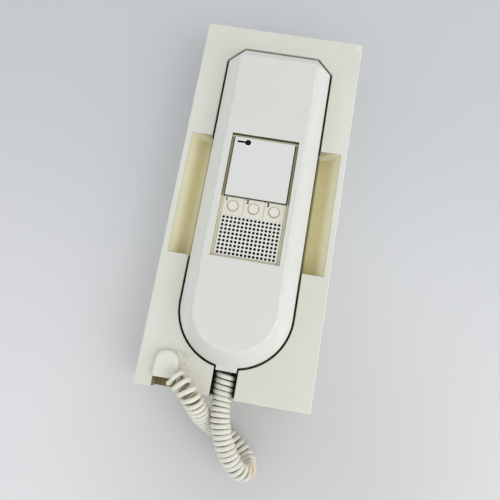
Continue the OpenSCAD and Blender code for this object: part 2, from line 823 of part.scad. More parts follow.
module handset_front_shell() {
  color("whitesmoke") difference() {
    union() {
      difference() {
        union() {
          front_body(0, split_z);
          nose(split_z, face_z);
        }
        front_body(shell_t, split_z - cut);
      }
      for (p = shell_screw_places)
        translate([p.x, p.y, split_z]) cylinder(d = shell_boss_d, h = ledge_z - split_z + shell_t / 2);
      for (p = peg_places)
        translate([p.x, p.y, ledge_z - peg_l]) cylinder(d = peg_d, h = peg_l + shell_t / 2);
    }
    nose_hole();
    box([-panel_w / 2, panel_y0, ledge_z - cut], [panel_w / 2, panel_y1, front_z + cut]);
    for (p = shell_screw_places)
      translate([p.x, p.y, split_z - cut])
        cylinder(d = shell_screw_d + pilot_gap, h = shell_screw_grip + 2 * cut);
  }
}

module handset_rear_shell() {
  color("whitesmoke") difference() {
    union() {
      difference() {
        union() {
          long_body([[0, rear_z], [handset_r - rear_bevel, rear_z], [handset_r, rear_z + rear_bevel],
            [handset_r, split_z], [0, split_z]], arc_y, handset_y1);
          nose(face_z - nose_h, split_z);
        }
        corner_cuts(0, rear_z - cut, split_z + cut);
        outline_block(-shell_t, rear_floor_z, split_z + cut);
      }
      for (p = shell_screw_places)
        translate([p.x, p.y, rear_z + shell_t / 2])
          cylinder(d = shell_boss_d, h = split_z - rear_z - shell_t / 2);
      translate([0, earpiece_y, rear_z + shell_t / 2])
        ring(earpiece_ring_r, earpiece_ring_r + capsule_ring_t, shell_t / 2 + capsule_ring_h);
      translate([0, microphone_y, rear_z + shell_t / 2])
        ring(microphone_ring_r, microphone_ring_r + capsule_ring_t, shell_t / 2 + capsule_ring_h);
      box([-boot_w / 4, boot_y, rear_z + shell_t / 2], [boot_w / 4, boot_y + boot_l, split_z - boot_drop]);
    }
    nose_hole();
    for (a = [0 : 60 : 300])
      translate([0, earpiece_y, rear_z - cut]) rotate(a) translate([sound_holes_r, 0, 0])
        cylinder(d = sound_hole_d, h = shell_t + 2 * cut);
    translate([0, earpiece_y, rear_z - cut]) cylinder(d = sound_hole_d, h = shell_t + 2 * cut);
    translate([0, microphone_y, rear_z - cut]) cylinder(d = sound_hole_d, h = shell_t + 2 * cut);
    for (p = shell_screw_places) {
      translate([p.x, p.y, rear_z - cut])
        cylinder(d = shell_screw_d + pass_gap, h = split_z - rear_z + 2 * cut);
      translate([p.x, p.y, rear_z - cut])
        cylinder(d = shell_screw_head_d + pass_gap, h = shell_screw_sink + cut);
    }
  }
}

module handset_screws() {
  color("silver") for (p = shell_screw_places) {
    translate([p.x, p.y, rear_z + shell_screw_sink - shell_screw_head])
      cylinder(d = shell_screw_head_d, h = shell_screw_head);
    translate([p.x, p.y, rear_z + shell_screw_sink])
      cylinder(d = shell_screw_d, h = split_z + shell_screw_grip - rear_z - shell_screw_sink);
  }
}

module panel_bezel() {
  color("blanchedalmond") difference() {
    union() {
      box([-bezel_w / 2, panel_y0 - bezel_lap, bezel_z], [bezel_w / 2, panel_y1 + bezel_lap, ledge_z]);
      for (p = post_places)
        translate([p.x, p.y, board_z]) cylinder(d = post_d, h = board_drop + bezel_t / 2);
      for (side = [-1, 1])
        translate([side * (inlay_w / 2 + 2 * run_gap + ear_w / 2), 0, 0])
          box([-ear_w / 2, hinge_y - lug_r, hinge_z - lug_r],
            [ear_w / 2, hinge_y + lug_r, bezel_z + bezel_t / 2]);
    }
    box([-inlay_w / 2 - run_gap, strip_y1, bezel_z - cut],
      [inlay_w / 2 + run_gap, key_y1 + run_gap, ledge_z + cut]);
    for (x = button_xs)
      translate([x, button_y, bezel_z - cut]) cylinder(d = button_d + run_gap, h = bezel_t + 2 * cut);
    for (x = [-button_pitch / 2, button_pitch / 2])
      box([x - groove_w / 2, strip_y0, ledge_z - groove_d],
        [x + groove_w / 2, strip_y1 + cut, ledge_z + cut]);
    box([-inlay_w / 2 - touch_gap, grille_y0 - touch_gap, grille_z],
      [inlay_w / 2 + touch_gap, grille_y1 + touch_gap, ledge_z + cut]);
    intersection() {
      translate([0, speaker_y, bezel_z - cut]) cylinder(r = cone_r, h = bezel_t + 2 * cut);
      box([-inlay_w / 2, grille_y0 + grille_edge, bezel_z - cut],
        [inlay_w / 2, grille_y1 - grille_edge, ledge_z + cut]);
    }
    for (p = peg_places)
      translate([p.x, p.y, bezel_z - cut]) cylinder(d = peg_d + seat_gap, h = bezel_t + 2 * cut);
    for (p = post_places)
      translate([p.x, p.y, board_z - cut])
        cylinder(d = post_screw_d + pilot_gap, h = post_screw_l + 2 * cut);
    bar_x([0, hinge_y, hinge_z], hinge_d + touch_gap, bezel_w);
  }
}

module key_button() {
  half = inlay_w / 2;
  color("white") difference() {
    union() {
      difference() {
        box([-half, key_y0, skirt_z], [half, key_y1, key_z]);
        box([key_wall - half, key_y0 + key_wall, skirt_z - cut],
          [half - key_wall, key_y1 - key_wall, key_z - key_t]);
      }
      for (side = [-1, 1])
        translate([side * (half - lug_w / 2), 0, 0])
          box([-lug_w / 2, hinge_y - lug_r, hinge_z - lug_r],
            [lug_w / 2, hinge_y + lug_r, key_z - key_t / 2]);
      translate([0, key_post_y, flange_z]) cylinder(r = key_post_r, h = key_z - key_t / 2 - flange_z);
    }
    bar_x([0, hinge_y, hinge_z], hinge_d + seat_gap, bezel_w);
  }
}

module key_hinge_pin() {
  color("silver") bar_x([0, hinge_y, hinge_z], hinge_d, inlay_w + 4 * run_gap + 2 * ear_w);
}

module dome(x, y) {
  translate([x, y, board_z])
    cylinder(r1 = dome_r, r2 = dome_r - dome_taper, h = flange_z - touch_gap - board_z);
}

module key_dome() {
  color("lightgray") dome(0, key_post_y);
}

module button_domes() {
  color("lightgray") for (x = button_xs)
    dome(x, button_y);
}

module round_button(i) {
  translate([button_xs[i], button_y, flange_z]) {
    cylinder(d = button_d, h = ledge_z + button_rise - flange_z);
    cylinder(d = button_d + 2 * flange_lap, h = flange_t);
  }
}

module button_1() {
  color("ivory") round_button(0);
}

module button_2() {
  color("ivory") round_button(1);
}

module button_3() {
  color("ivory") round_button(2);
}

module grille_plate() {
  color("white") translate([0, grille_y, grille_z]) linear_extrude(grille_t) difference() {
    square([inlay_w, grille_l], center = true);
    for (i = [0 : grille_cols - 1], j = [0 : grille_rows - 1])
      translate([(i - (grille_cols - 1) / 2) * grille_pitch, (j - (grille_rows - 1) / 2) * grille_pitch])
        circle(d = grille_hole_d);
  }
}

module speaker_gasket() {
  color("black") translate([0, speaker_y, bezel_z - gasket_t])
    ring(speaker_r - gasket_w, speaker_r, gasket_t);
}

module speaker_frame() {
  r = speaker_r - gasket_w;
  low_r = magnet_r + magnet_edge;
  low_z = basket_z - basket_h;
  color("darkgray") translate([0, speaker_y, 0]) rotate_extrude()
    polygon([[r - basket_t, basket_z + basket_flange_t], [speaker_r, basket_z + basket_flange_t],
      [speaker_r, basket_z], [r, basket_z], [low_r, low_z], [0, low_z], [0, low_z + basket_t],
      [low_r - basket_t, low_z + basket_t], [r - basket_t, basket_z + basket_t / 2]]);
}

module speaker_cone() {
  low_r = cone_r / 3;
  low_z = basket_z - basket_h / 2;
  top_z = basket_z + basket_flange_t;
  color("black") translate([0, speaker_y, 0]) rotate_extrude()
    polygon([[0, low_z], [low_r, low_z], [cone_r - seat_gap, top_z], [cone_r - seat_gap - cone_t, top_z],
      [low_r - cone_t, low_z + cone_t], [0, low_z + cone_t]]);
}

module speaker_magnet() {
  color("gray") translate([0, speaker_y, basket_z - basket_h - magnet_h])
    cylinder(r = magnet_r, h = magnet_h);
}

module handset_board() {
  color("seagreen") difference() {
    box([-board_w / 2, board_y0, board_z - board_t], [board_w / 2, board_y1, board_z]);
    for (p = post_places)
      translate([p.x, p.y, board_z - board_t - cut])
        cylinder(d = post_screw_d + pass_gap, h = board_t + 2 * cut);
  }
}

module board_screws() {
  color("silver") for (p = post_places) {
    translate([p.x, p.y, board_z - board_t - post_screw_head])
      cylinder(d = post_screw_head_d, h = post_screw_head);
    translate([p.x, p.y, board_z - board_t]) cylinder(d = post_screw_d, h = board_t + post_screw_l);
  }
}

module handset_chips() {
  color("dimgray") chips([0, board_y0 + chip_up, board_z - board_t - chip_h], chip_x);
}

module earpiece_gasket() {
  color("black") translate([0, earpiece_y, rear_floor_z])
    ring(earpiece_d / 2 - earpiece_gasket_w, earpiece_d / 2, earpiece_gasket_t);
}

module earpiece_capsule() {
  color("gray") translate([0, earpiece_y, rear_floor_z + earpiece_gasket_t]) {
    cylinder(d = earpiece_d, h = earpiece_h);
    cylinder(d = capsule_back_d, h = earpiece_h + capsule_back_h);
  }
}

module microphone_boot() {
  color("black") translate([0, microphone_y, rear_floor_z]) difference() {
    cylinder(r = microphone_d / 2 + boot_wall, h = microphone_h + boot_wall);
    translate([0, 0, -cut]) cylinder(d = microphone_d + touch_gap, h = microphone_h + cut);
  }
}

module microphone_capsule() {
  color("silver") translate([0, microphone_y, rear_floor_z + touch_gap])
    cylinder(d = microphone_d, h = microphone_h - 2 * touch_gap);
}

module cord_boot() {
  color("black")
    box([-boot_w / 2, boot_y, split_z - boot_drop], [boot_w / 2, boot_y + boot_l, split_z + boot_rise]);
}

module cord_plug() {
  color("lightgray") box([plug_x - plug_w / 2, plug_y0, plug_z - plug_h / 2],
    [plug_x + plug_w / 2, plug_y0 + plug_l, plug_z + plug_h / 2]);
}

module curly_cord() {
  echo(curls = curls, wire_length = line_length(wire), least_gap = least_gap(wire));
  color("antiquewhite") tube(wire, wire_r, wire_sides);
}

base_cover();
back_plate();
cover_screw();
base_board();
base_board_screws();
base_chips();
base_capacitors();
terminal_block();
terminal_screws();
cord_socket();
hook_plunger();
hook_dome();
handset_front_shell();
handset_rear_shell();
handset_screws();
panel_bezel();
key_button();
key_hinge_pin();
key_dome();
button_1();
button_2();
button_3();
button_domes();
grille_plate();
speaker_gasket();
speaker_frame();
speaker_cone();
speaker_magnet();
handset_board();
board_screws();
handset_chips();
earpiece_gasket();
earpiece_capsule();
microphone_boot();
microphone_capsule();
cord_boot();
cord_plug();
curly_cord();
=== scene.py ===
# %% [markdown]
# # A wall intercom: base, handset and curly cord
# The hard shapes come from a CAD model, already in place and in metres. This lesson gives them soft
# edges, finishes, printed marks and a real coiled cord, and sets up a studio that matches the photograph.

# %% Load the CAD frame
import json
import math

import bmesh
import bpy
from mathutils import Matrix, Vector
from mathutils.kdtree import KDTree


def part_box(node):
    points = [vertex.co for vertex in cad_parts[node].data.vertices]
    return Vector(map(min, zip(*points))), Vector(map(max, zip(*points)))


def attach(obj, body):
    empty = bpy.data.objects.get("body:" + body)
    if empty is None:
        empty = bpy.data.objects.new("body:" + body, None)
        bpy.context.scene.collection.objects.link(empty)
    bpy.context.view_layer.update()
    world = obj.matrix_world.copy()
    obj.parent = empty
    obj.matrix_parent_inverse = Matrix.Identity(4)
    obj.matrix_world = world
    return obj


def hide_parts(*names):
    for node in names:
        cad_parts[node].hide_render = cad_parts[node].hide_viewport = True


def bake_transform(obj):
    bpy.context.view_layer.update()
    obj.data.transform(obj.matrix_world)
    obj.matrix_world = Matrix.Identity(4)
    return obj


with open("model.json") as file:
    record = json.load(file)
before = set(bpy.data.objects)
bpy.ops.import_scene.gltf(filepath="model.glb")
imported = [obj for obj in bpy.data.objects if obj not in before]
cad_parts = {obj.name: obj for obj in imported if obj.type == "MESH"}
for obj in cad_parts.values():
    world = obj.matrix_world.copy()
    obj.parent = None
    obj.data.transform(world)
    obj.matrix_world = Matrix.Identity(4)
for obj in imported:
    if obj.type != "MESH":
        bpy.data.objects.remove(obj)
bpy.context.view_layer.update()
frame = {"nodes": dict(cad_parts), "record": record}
nodes = frame["nodes"]
scene = bpy.context.scene
scene.view_settings.view_transform = "Standard"
MM = 0.001

# %% [markdown]
# ## Camera
# The photograph looks almost straight down from about 28 cm above the face, a little turned. The four
# corners of the base fix the place and the lens: a 35 mm lens on a 36 mm wide square frame.

# %% Camera at the photograph's angle
CAMERA_PLACE = (0.0157, -0.0865, 0.3120)
CAMERA_TURN = (11.73, 0.86, 9.81)
LENS_MM, FRAME_MM = 35.28, 36
NEAREST = 0.01
bpy.ops.object.camera_add(location=CAMERA_PLACE, rotation=[math.radians(a) for a in CAMERA_TURN])
camera = bpy.context.object
camera.data.lens = LENS_MM
camera.data.sensor_width = FRAME_MM
camera.data.clip_start = NEAREST
scene.camera = camera
print("camera", [round(v, 3) for v in camera.location])

# %% [markdown]
# ## Shader maths as plain sums
# A finish is a small network of nodes. This class wraps one output of a node, so that a mask can be
# written as `1 - edge * grime`, and each sum adds its Math node. One method adds every other node.


# %% A socket that can be added and multiplied
class Tap:
    """One output of a shader node."""

    def __init__(self, tree, socket):
        self.tree, self.socket = tree, socket

    def node(self, kind, settings=(), values=(), out=0):
        made = self.tree.nodes.new("ShaderNode" + kind)
        for name, value in dict(settings).items():
            if name == "stops":
                for i, (place, colour) in enumerate(value):
                    ramp = made.color_ramp.elements
                    stop = ramp[i] if i < len(ramp) else ramp.new(place)
                    stop.position, stop.color = place, colour
            else:
                setattr(made, name, value)
        for name, value in dict(values).items():
            if isinstance(value, Tap):
                self.tree.links.new(value.socket, made.inputs[name])
            else:
                made.inputs[name].default_value = value
        return Tap(self.tree, made.outputs[out])

    def maths(self, operation, *others):
        return self.node("Math", {"operation": operation}, enumerate((self, *others)))

    def __add__(self, other):
        return self.maths("ADD", other)

    def __sub__(self, other):
        return self.maths("SUBTRACT", other)

    def __mul__(self, other):
        return self.maths("MULTIPLY", other)

    def __rsub__(self, other):
        return self * -1 + other

    __radd__, __rmul__ = __add__, __mul__


print("shader sums ready")

# %% [markdown]
# ## Masks
# Every stain, and every patch of painted light or shade, below is a mask from 0 to 1 times a colour. Masks
# come from the place on the piece, in millimetres, and from noise. Object coordinates are used, so a stain
# keeps its place on a piece that moves.

# %% Masks from places and noise
TO_MM = 1000


def rise(value, low, high):
    """0 below low, 1 above high, and a soft step between them."""
    return value.node("MapRange", {"interpolation_type": "SMOOTHSTEP"},
                      {"Value": value, "From Min": low, "From Max": high})


def fall(value, low, high):
    return 1 - rise(value, low, high)


def past(value, edge, soft):
    """1 beyond an edge and 0 before it, with a soft step that reaches to both sides of it."""
    return rise(value, edge - soft, edge + soft)


def short_of(value, edge, soft):
    return 1 - past(value, edge, soft)


def noise(coords, scale, detail=3.0, rough=0.55):
    return coords.node("TexNoise", (), {"Vector": coords, "Scale": scale, "Detail": detail,
                                        "Roughness": rough})


def axis(coords, letter):
    """One coordinate in millimetres."""
    return coords.node("SeparateXYZ", (), {"Vector": coords}, letter) * TO_MM


def places(coords):
    """All three coordinates in millimetres."""
    return [axis(coords, letter) for letter in "XYZ"]


def near(coords, point, inner, outer):
    """1 within inner millimetres of a point, 0 beyond outer."""
    metres = tuple(c * MM for c in point)
    distance = coords.node("VectorMath", {"operation": "DISTANCE"}, {0: coords, 1: metres}, "Value") * TO_MM
    return fall(distance, inner, outer)


def reach_of(x, y):
    """How far a place lies from where x and y are both 0."""
    spoke = x.node("CombineXYZ", (), {"X": x, "Y": y})
    return spoke.node("VectorMath", {"operation": "LENGTH"}, {0: spoke}, "Value")


def rgb(colour):
    return (*colour, 1.0)


def tint(mask, under, over):
    """The colour over where the mask is 1, and under where it is 0."""
    # A Mix node has its two colours in the sockets 6 and 7 and gives the mixed colour at its output 2.
    return mask.node("Mix", {"data_type": "RGBA"}, {0: mask, 6: under, 7: over}, 2)


print("mask helpers ready")

# %% [markdown]
# ## Moulded plastic
# Every shell is injection-moulded plastic with a fine spark-eroded grain. Old plastic is never one
# colour: it yellows in broad clouds, gets rubbed pale along its edges, and is a little duller where dust
# has been. Layers of stain and of painted light and shade, each a mask and a colour, go on top for what only
# one piece shows.

# %% An empty finish, and a finish for moulded plastic
CLOUDS, SPECKS, SCUFFS, WAVES, GRAIN = 26, 900, 240, 140, 5200
GRAIN_DEPTH = 0.0001


def blank(name):
    """A new material, its shader, and the coordinates of the piece that wears it."""
    material = bpy.data.materials.new(name)
    material.use_nodes = True
    tree = material.node_tree
    coords = Tap(tree, tree.nodes.new("ShaderNodeTexCoord").outputs["Object"])
    return material, tree.nodes["Principled BSDF"], coords


def feed(shader, taps):
    for name, tap in taps.items():
        tap.tree.links.new(tap.socket, shader.inputs[name])


def plastic(name, colour, aged, roughness, stains_and_light=None, mottle=0.5, rubbed=(0.80, 0.80, 0.78)):
    material, shader, coords = blank(name)
    clouds = rise(noise(coords, CLOUDS, 4), 0.35, 0.75)
    paint = tint(clouds * mottle, rgb(colour), rgb(aged))
    specks = rise(noise(coords, SPECKS, 2), 0.70, 0.82)
    paint = tint(specks * 0.10, paint, rgb([c * 0.72 for c in aged]))
    for mask, layer in stains_and_light(coords) if stains_and_light else []:
        paint = tint(mask, paint, rgb(layer))
    edge = coords.node("Attribute", {"attribute_name": "worn_edge"}, (), "Fac")
    worn = edge * rise(noise(coords, SCUFFS, 4), 0.46, 0.66)
    paint = tint(worn * 0.6, paint, rgb(rubbed))
    fine = noise(coords, GRAIN, 2, 0.6)
    wide = noise(coords, WAVES, 3)
    height = fine * 0.7 + wide * 0.3
    bump = height.node("Bump", (), {"Height": height, "Strength": 0.10, "Distance": GRAIN_DEPTH})
    dull = roughness - 0.07 + 0.14 * wide - 0.1 * worn
    feed(shader, {"Base Color": paint, "Roughness": dull, "Normal": bump})
    return material


def wear(piece, material):
    """Gives a piece one finish all over."""
    piece.data.materials.clear()
    piece.data.materials.append(material)
    return piece


print("moulded plastic ready")

# %% [markdown]
# ## The curly cord
# The cord is one wire wound as a long coil. It leaves the plug under the hood, falls over the base's
# lower edge, runs along the table, turns round in a tight bend and comes back to the handset. The coil's
# middle line is a smooth curve through a few points, and the wire is a helix round that line, so the
# number of curls stays exact. Where the coil falls, its curls lean with half of the slope, as loose rings do.
# The CAD coil is the same line with fewer curls. Here the tight bend is fuller: its curls are pressed flat on
# the inside, as a real coil's are when it is folded over, so that they fan out there and hardly overlap.

# %% The cord's route: x, y from the base's lower end, z from its face, and the room of one curl
COIL_RADIUS = 4.4 * MM
CURLS = 44.25
CURL_LEAN = 0.5
# One curl has STEPS points of wire, and the route is measured SAMPLES times from each point to the next.
STEPS, SAMPLES = 20, 12
LOWER_END, FACE = -115.0, 30.0
ROUTE = [
    (-27, 7.5, 7, 4.9), (-22.5, 4.7, 8.2, 5.1), (-18.2, 1, 8.4, 4.89), (-14.8, -3.3, 5.3, 4.28),
    (-12, -7.6, -0.8, 4.1), (-9.81, -11.45, -7.24, 3.98), (-6.91, -14.48, -13.33, 4.03),
    (-2.24, -18.16, -19.58, 4.24), (5, -21.6, -23.4, 3.65), (11.3, -26.1, -23.8, 3.85),
    (16.2, -29.9, -23.7, 3.7), (19.2, -33.2, -22.2, 3.4), (20.5, -36.2, -18.9, 3.3),
    (19.8, -37.8, -14.9, 3.3), (17.3, -37.6, -11.4, 3.3), (14.2, -35.7, -9.1, 3.2),
    (11.9, -33.2, -7.7, 3.05), (9.58, -30.37, -6.47, 3.0), (6.38, -24.96, -5.15, 3.0),
    (3.68, -19.08, -4.66, 3.0), (1.61, -12.6, -4.7, 3.1), (0.4, -5.79, -5.3, 3.2),
    (0, 1, -5.9, 3.2), (0, 7, -6, 3.35), (0, 13.5, -6, 3.45)]
BEND_IN, BEND_OUT = 9.5, 15.5


def curve_at(points, u):
    """A Catmull-Rom curve through points of any number of values."""
    last = len(points) - 1
    i = max(0, min(int(u), last - 1))
    t = u - i
    a, b, c, d = (points[k] for k in (max(i - 1, 0), i, i + 1, min(i + 2, last)))
    values = []
    for p, q, r, s in zip(a, b, c, d):
        slope, square, cube = r - p, 2 * p - 5 * q + 4 * r - s, 3 * q - p - 3 * r + s
        values.append((2 * q + slope * t + square * t * t + cube * t ** 3) / 2)
    return values


def middle(u):
    x, y, z, _ = curve_at(ROUTE, u)
    return Vector((x, y + LOWER_END, z + FACE)) * MM


samples = [i / SAMPLES for i in range(SAMPLES * (len(ROUTE) - 1) + 1)]
turns = [0.0]
for a, b in zip(samples, samples[1:]):
    turns.append(turns[-1] + (middle(b) - middle(a)).length / (curve_at(ROUTE, a)[3] * MM))
turns = [t * CURLS / turns[-1] for t in turns]
print("route points", len(ROUTE), "curls", CURLS)

# %% The coil's own directions along the route
UP = Vector((0, 0, 1))
LAST = len(ROUTE) - 1
# NUDGE and REACH are steps along the route, and FLAT is the share of a bend's radius that a curl may fill.
NUDGE, REACH, FLAT = 0.05, 0.6, 0.15
TINY = 1e-9


def heading(u):
    step = middle(min(u + NUDGE, LAST)) - middle(max(u - NUDGE, 0))
    lean = CURL_LEAN if u < BEND_IN else 1
    return Vector((step.x, step.y, lean * step.z)).normalized()


def side_at(u):
    """A direction across the coil that turns over with it in the bend, so that the curls go on evenly."""
    if u <= BEND_IN:
        return heading(u).cross(UP).normalized()
    if u >= BEND_OUT:
        return UP.cross(heading(u)).normalized()
    share = (u - BEND_IN) / (BEND_OUT - BEND_IN)
    side = side_at(BEND_IN).lerp(side_at(BEND_OUT), share)
    return (side - heading(u) * side.dot(heading(u))).normalized()


def pressed(u, offset):
    """The offset of the wire from the middle line, cut short on the inside of a bend."""
    before, here, after = middle(max(u - REACH, 0)), middle(u), middle(min(u + REACH, LAST))
    inward = after - 2 * here + before
    inward -= heading(u) * inward.dot(heading(u))
    bend_radius = ((after - before).length / 2) ** 2 / max(inward.length, TINY)
    inward.normalize()
    return offset - inward * max(0, offset.dot(inward) - FLAT * bend_radius)


print("bend between points", BEND_IN, "and", BEND_OUT)


# %% The helix round the route
def helix_at(turn):
    k = max(1, next((i for i, t in enumerate(turns) if t >= turn), len(turns) - 1))
    share = (turn - turns[k - 1]) / (turns[k] - turns[k - 1])
    u = samples[k - 1] + share * (samples[k] - samples[k - 1])
    side = side_at(u)
    up = side.cross(heading(u))
    angle = 2 * math.pi * turn
    return middle(u) + pressed(u, COIL_RADIUS * (math.cos(angle) * side + math.sin(angle) * up))


helix = [helix_at(min(i / STEPS, CURLS)) for i in range(round(CURLS * STEPS) + 1)]
print("helix points", len(helix), "start", [round(v / MM, 1) for v in helix[0]])

# %% The wire's two ends, one into the plug and one into the handset's boot
BEND = 3 * MM
BEND_STEPS = 6
plug_low, plug_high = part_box("cord_plug")
plug_z = (plug_low.z + plug_high.z) / 2
boot_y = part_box("cord_boot")[0].y
start, stop = helix[0], helix[-1]
quarter = [math.radians(90 * k / BEND_STEPS) for k in range(BEND_STEPS + 1)]
halfway_y = (plug_low.y + start.y + BEND) / 2
plug_end = [Vector((start.x, plug_low.y, plug_z)), Vector((start.x, halfway_y, plug_z))]
for a in quarter:
    plug_end.append(Vector((start.x, start.y + BEND * (1 - math.sin(a)), plug_z + BEND * (1 - math.cos(a)))))
bend_top = plug_end[-1].z
plug_end += [Vector((start.x, start.y, bend_top + (start.z - bend_top) * k / 4)) for k in (1, 2, 3)]
boot_end = []
for a in quarter[1:]:
    boot_end.append(Vector((stop.x + BEND * math.sin(a), stop.y + BEND * (1 - math.cos(a)), stop.z)))
straight = boot_y - stop.y - BEND
boot_end += [Vector((stop.x + BEND, stop.y + BEND + straight * k / 2, stop.z)) for k in (1, 2)]
wire = plug_end + helix + boot_end
wire_length = sum((b - a).length for a, b in zip(wire, wire[1:]))
print("wire length", round(wire_length, 4), "m in", len(wire), "points")

# %% The cord as a tube
WIRE = 2.65 * MM
line = bpy.data.curves.new("curly_cord_line", "CURVE")
line.dimensions = "3D"
line.bevel_depth = WIRE / 2
line.bevel_resolution = 4
line.use_fill_caps = True
spline = line.splines.new("POLY")
spline.points.add(len(wire) - 1)
for point, place in zip(spline.points, wire):
    point.co = (*place, 1)
cord = bpy.data.objects.new("curly_cord_coil", line)
scene.collection.objects.link(cord)
bpy.ops.object.select_all(action="DESELECT")
cord.select_set(True)
bpy.context.view_layer.objects.active = cord
bpy.ops.object.convert(target="MESH")
bpy.ops.object.shade_smooth()
print("cord faces", len(cord.data.polygons))

# %% [markdown]
# Between the curls and inside them the sleeve is painted dark, partly dirt and partly painted shade where the
# curls hide each other. The middle of one turn of wire is the middle of the coil, so every point of the
# sleeve can be
# told how far it faces inwards: 0 outside, 1 inside.
# The value is kept on the mesh as an attribute, which follows the wire as no pattern in space could.

# %% How far each point of the sleeve faces into the coil
outward, finder = [], KDTree(len(wire))
for i, place in enumerate(wire):
    one_turn = wire[max(i - STEPS // 2, 0):i + STEPS // 2]
    outward.append((place - sum(one_turn, Vector()) / len(one_turn)).normalized())
    finder.insert(place, i)
finder.balance()
between = cord.data.attributes.new("between_curls", "FLOAT", "POINT")
for vertex, value in zip(cord.data.vertices, between.data):
    place, i, _ = finder.find(vertex.co)
    value.value = 0.5 - (vertex.co - place).dot(outward[i]) / WIRE
print("sleeve points", len(between.data))

# %% [markdown]
# The cord's sleeve is soft plastic. It is yellowest at the tight bend, a little yellow near the plug, and
# dullest low down by the table.

# %% The cord's finish and its place in the frame
TIGHT_BEND, BEND_FOOT = (25, -152, 17), (13, -157, 19)
PLUG_STRAND = (-23, -112, 36)


def cord_stains_and_shade(coords):
    grimy = rise(noise(coords, 420, 4), 0.42, 0.68)
    curl_shade = coords.node("Attribute", {"attribute_name": "between_curls"}, (), "Fac")
    bend = near(coords, TIGHT_BEND, 2, 8) + 0.5 * near(coords, BEND_FOOT, 1, 5)
    low = fall(axis(coords, "Z"), 3, 20)
    return [
        (grimy * 0.25, (0.56, 0.53, 0.40)),
        (near(coords, PLUG_STRAND, 8, 26) * 0.35, (0.74, 0.70, 0.54)),
        (low * 0.30, (0.52, 0.49, 0.38)),
        (bend * (0.35 + 0.65 * grimy), (0.62, 0.42, 0.15)),
        # Painted shade, partly dirt: the sleeve is painted dark where it faces into the coil, between the
        # curls.
        (rise(curl_shade, 0.5, 0.85) * 0.85, (0.22, 0.19, 0.10)),
    ]


cord_sleeve = plastic("cord_sleeve", (0.78, 0.77, 0.70), (0.72, 0.70, 0.59), 0.45, cord_stains_and_shade)
wear(cord, cord_sleeve)
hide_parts("curly_cord")
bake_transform(cord)

# %% [markdown]
# ## Studio
# The station lies on a pale table in soft light. The sky is brighter near the horizon, as white walls are, so
# that slopes stay nearly as light as the flat faces. A large lamp from the right gives the right-hand slopes
# their brighter tone. The table is painted darker to the back as painted shade, and a painted shadow of the
# station lies on it in front of the station.

# %% Table
TABLE_SIZE, TABLE_TOP = 8, -0.0002
SHADOW_IN_FRONT = (50, -155, 0)


def pale_table():
    material, shader, coords = blank("pale_table")
    # Painted shade: the table is painted darker towards the back, and a painted shadow lies in front of the
    # station.
    back_shade = rise(axis(coords, "Y"), -230, 150)
    mottled = rise(noise(coords, 9, 2), 0.3, 0.8)
    paint = tint(back_shade, rgb((0.775, 0.77, 0.775)), rgb((0.59, 0.605, 0.62)))
    paint = tint(near(coords, SHADOW_IN_FRONT, 25, 180), paint, rgb((0.615, 0.62, 0.615)))
    feed(shader, {"Base Color": tint(mottled * 0.15, paint, rgb((0.62, 0.62, 0.62)))})
    shader.inputs["Roughness"].default_value = 0.8
    return material


bpy.ops.mesh.primitive_plane_add(size=TABLE_SIZE, location=(0, 0, TABLE_TOP))
table = bpy.context.object
table.name = "table"
wear(table, pale_table())
print("table", table.dimensions.x, "m")

# %% Lamp and sky
LAMP_PLACE, LAMP_AIM = (0.75, -0.40, 0.75), (0, 0, 0.02)
LAMP_SIZE, LAMP_POWER = 0.9, 4.0
HORIZON, ZENITH = (0.97, 0.985, 1.0), (0.52, 0.53, 0.545)
SKY_STRENGTH = 1.22
bpy.ops.object.light_add(type="AREA", location=LAMP_PLACE)
lamp = bpy.context.object
lamp.data.size = LAMP_SIZE
lamp.data.energy = LAMP_POWER
lamp.rotation_euler = (Vector(LAMP_AIM) - lamp.location).to_track_quat("-Z", "Y").to_euler()
world = bpy.data.worlds.new("studio_sky")
scene.world = world
world.use_nodes = True
sky_tree = world.node_tree
skyward = Tap(sky_tree, sky_tree.nodes.new("ShaderNodeTexCoord").outputs["Generated"])
height = skyward.node("SeparateXYZ", (), {"Vector": skyward}, "Z")
sky = height.node("ValToRGB", {"stops": [(0.0, rgb(HORIZON)), (1.0, rgb(ZENITH))]}, {"Fac": height})
feed(sky_tree.nodes["Background"], {"Color": sky})
sky_tree.nodes["Background"].inputs["Strength"].default_value = SKY_STRENGTH
print("lamp", lamp.data.energy, "W")

# %% [markdown]
# ## Soft edges
# A moulded edge is never sharp: a small radius catches the light. A copy of a CAD shape is merged into one
# skin, flat areas are joined into single faces, and then chosen edges are bevelled in edit mode. The new
# faces get the value worn_edge, which the plastic reads to rub its edges pale. Weighted normals keep the
# large flat faces evenly shaded up to their bevels.


# %% Picking edges and faces by place
def open_piece(piece):
    """Selects one piece alone and opens it in edit mode with nothing in it selected."""
    bpy.ops.object.select_all(action="DESELECT")
    piece.select_set(True)
    bpy.context.view_layer.objects.active = piece
    bpy.ops.object.mode_set(mode="EDIT")
    bpy.ops.mesh.select_all(action="DESELECT")


def pick_edges(piece, wanted, bend=24):
    """Selects edges that bend by some degrees and whose middle, in millimetres, passes a test."""
    bpy.ops.mesh.select_mode(type="EDGE")
    bpy.ops.mesh.select_all(action="DESELECT")
    body = bmesh.from_edit_mesh(piece.data)
    picked = [e for e in body.edges if len(e.link_faces) == 2 and e.calc_face_angle(0) > math.radians(bend)
              and wanted((e.verts[0].co + e.verts[1].co) / 2 / MM)]
    for edge in picked:
        edge.select_set(True)
    bmesh.update_edit_mesh(piece.data)
    return len(picked)


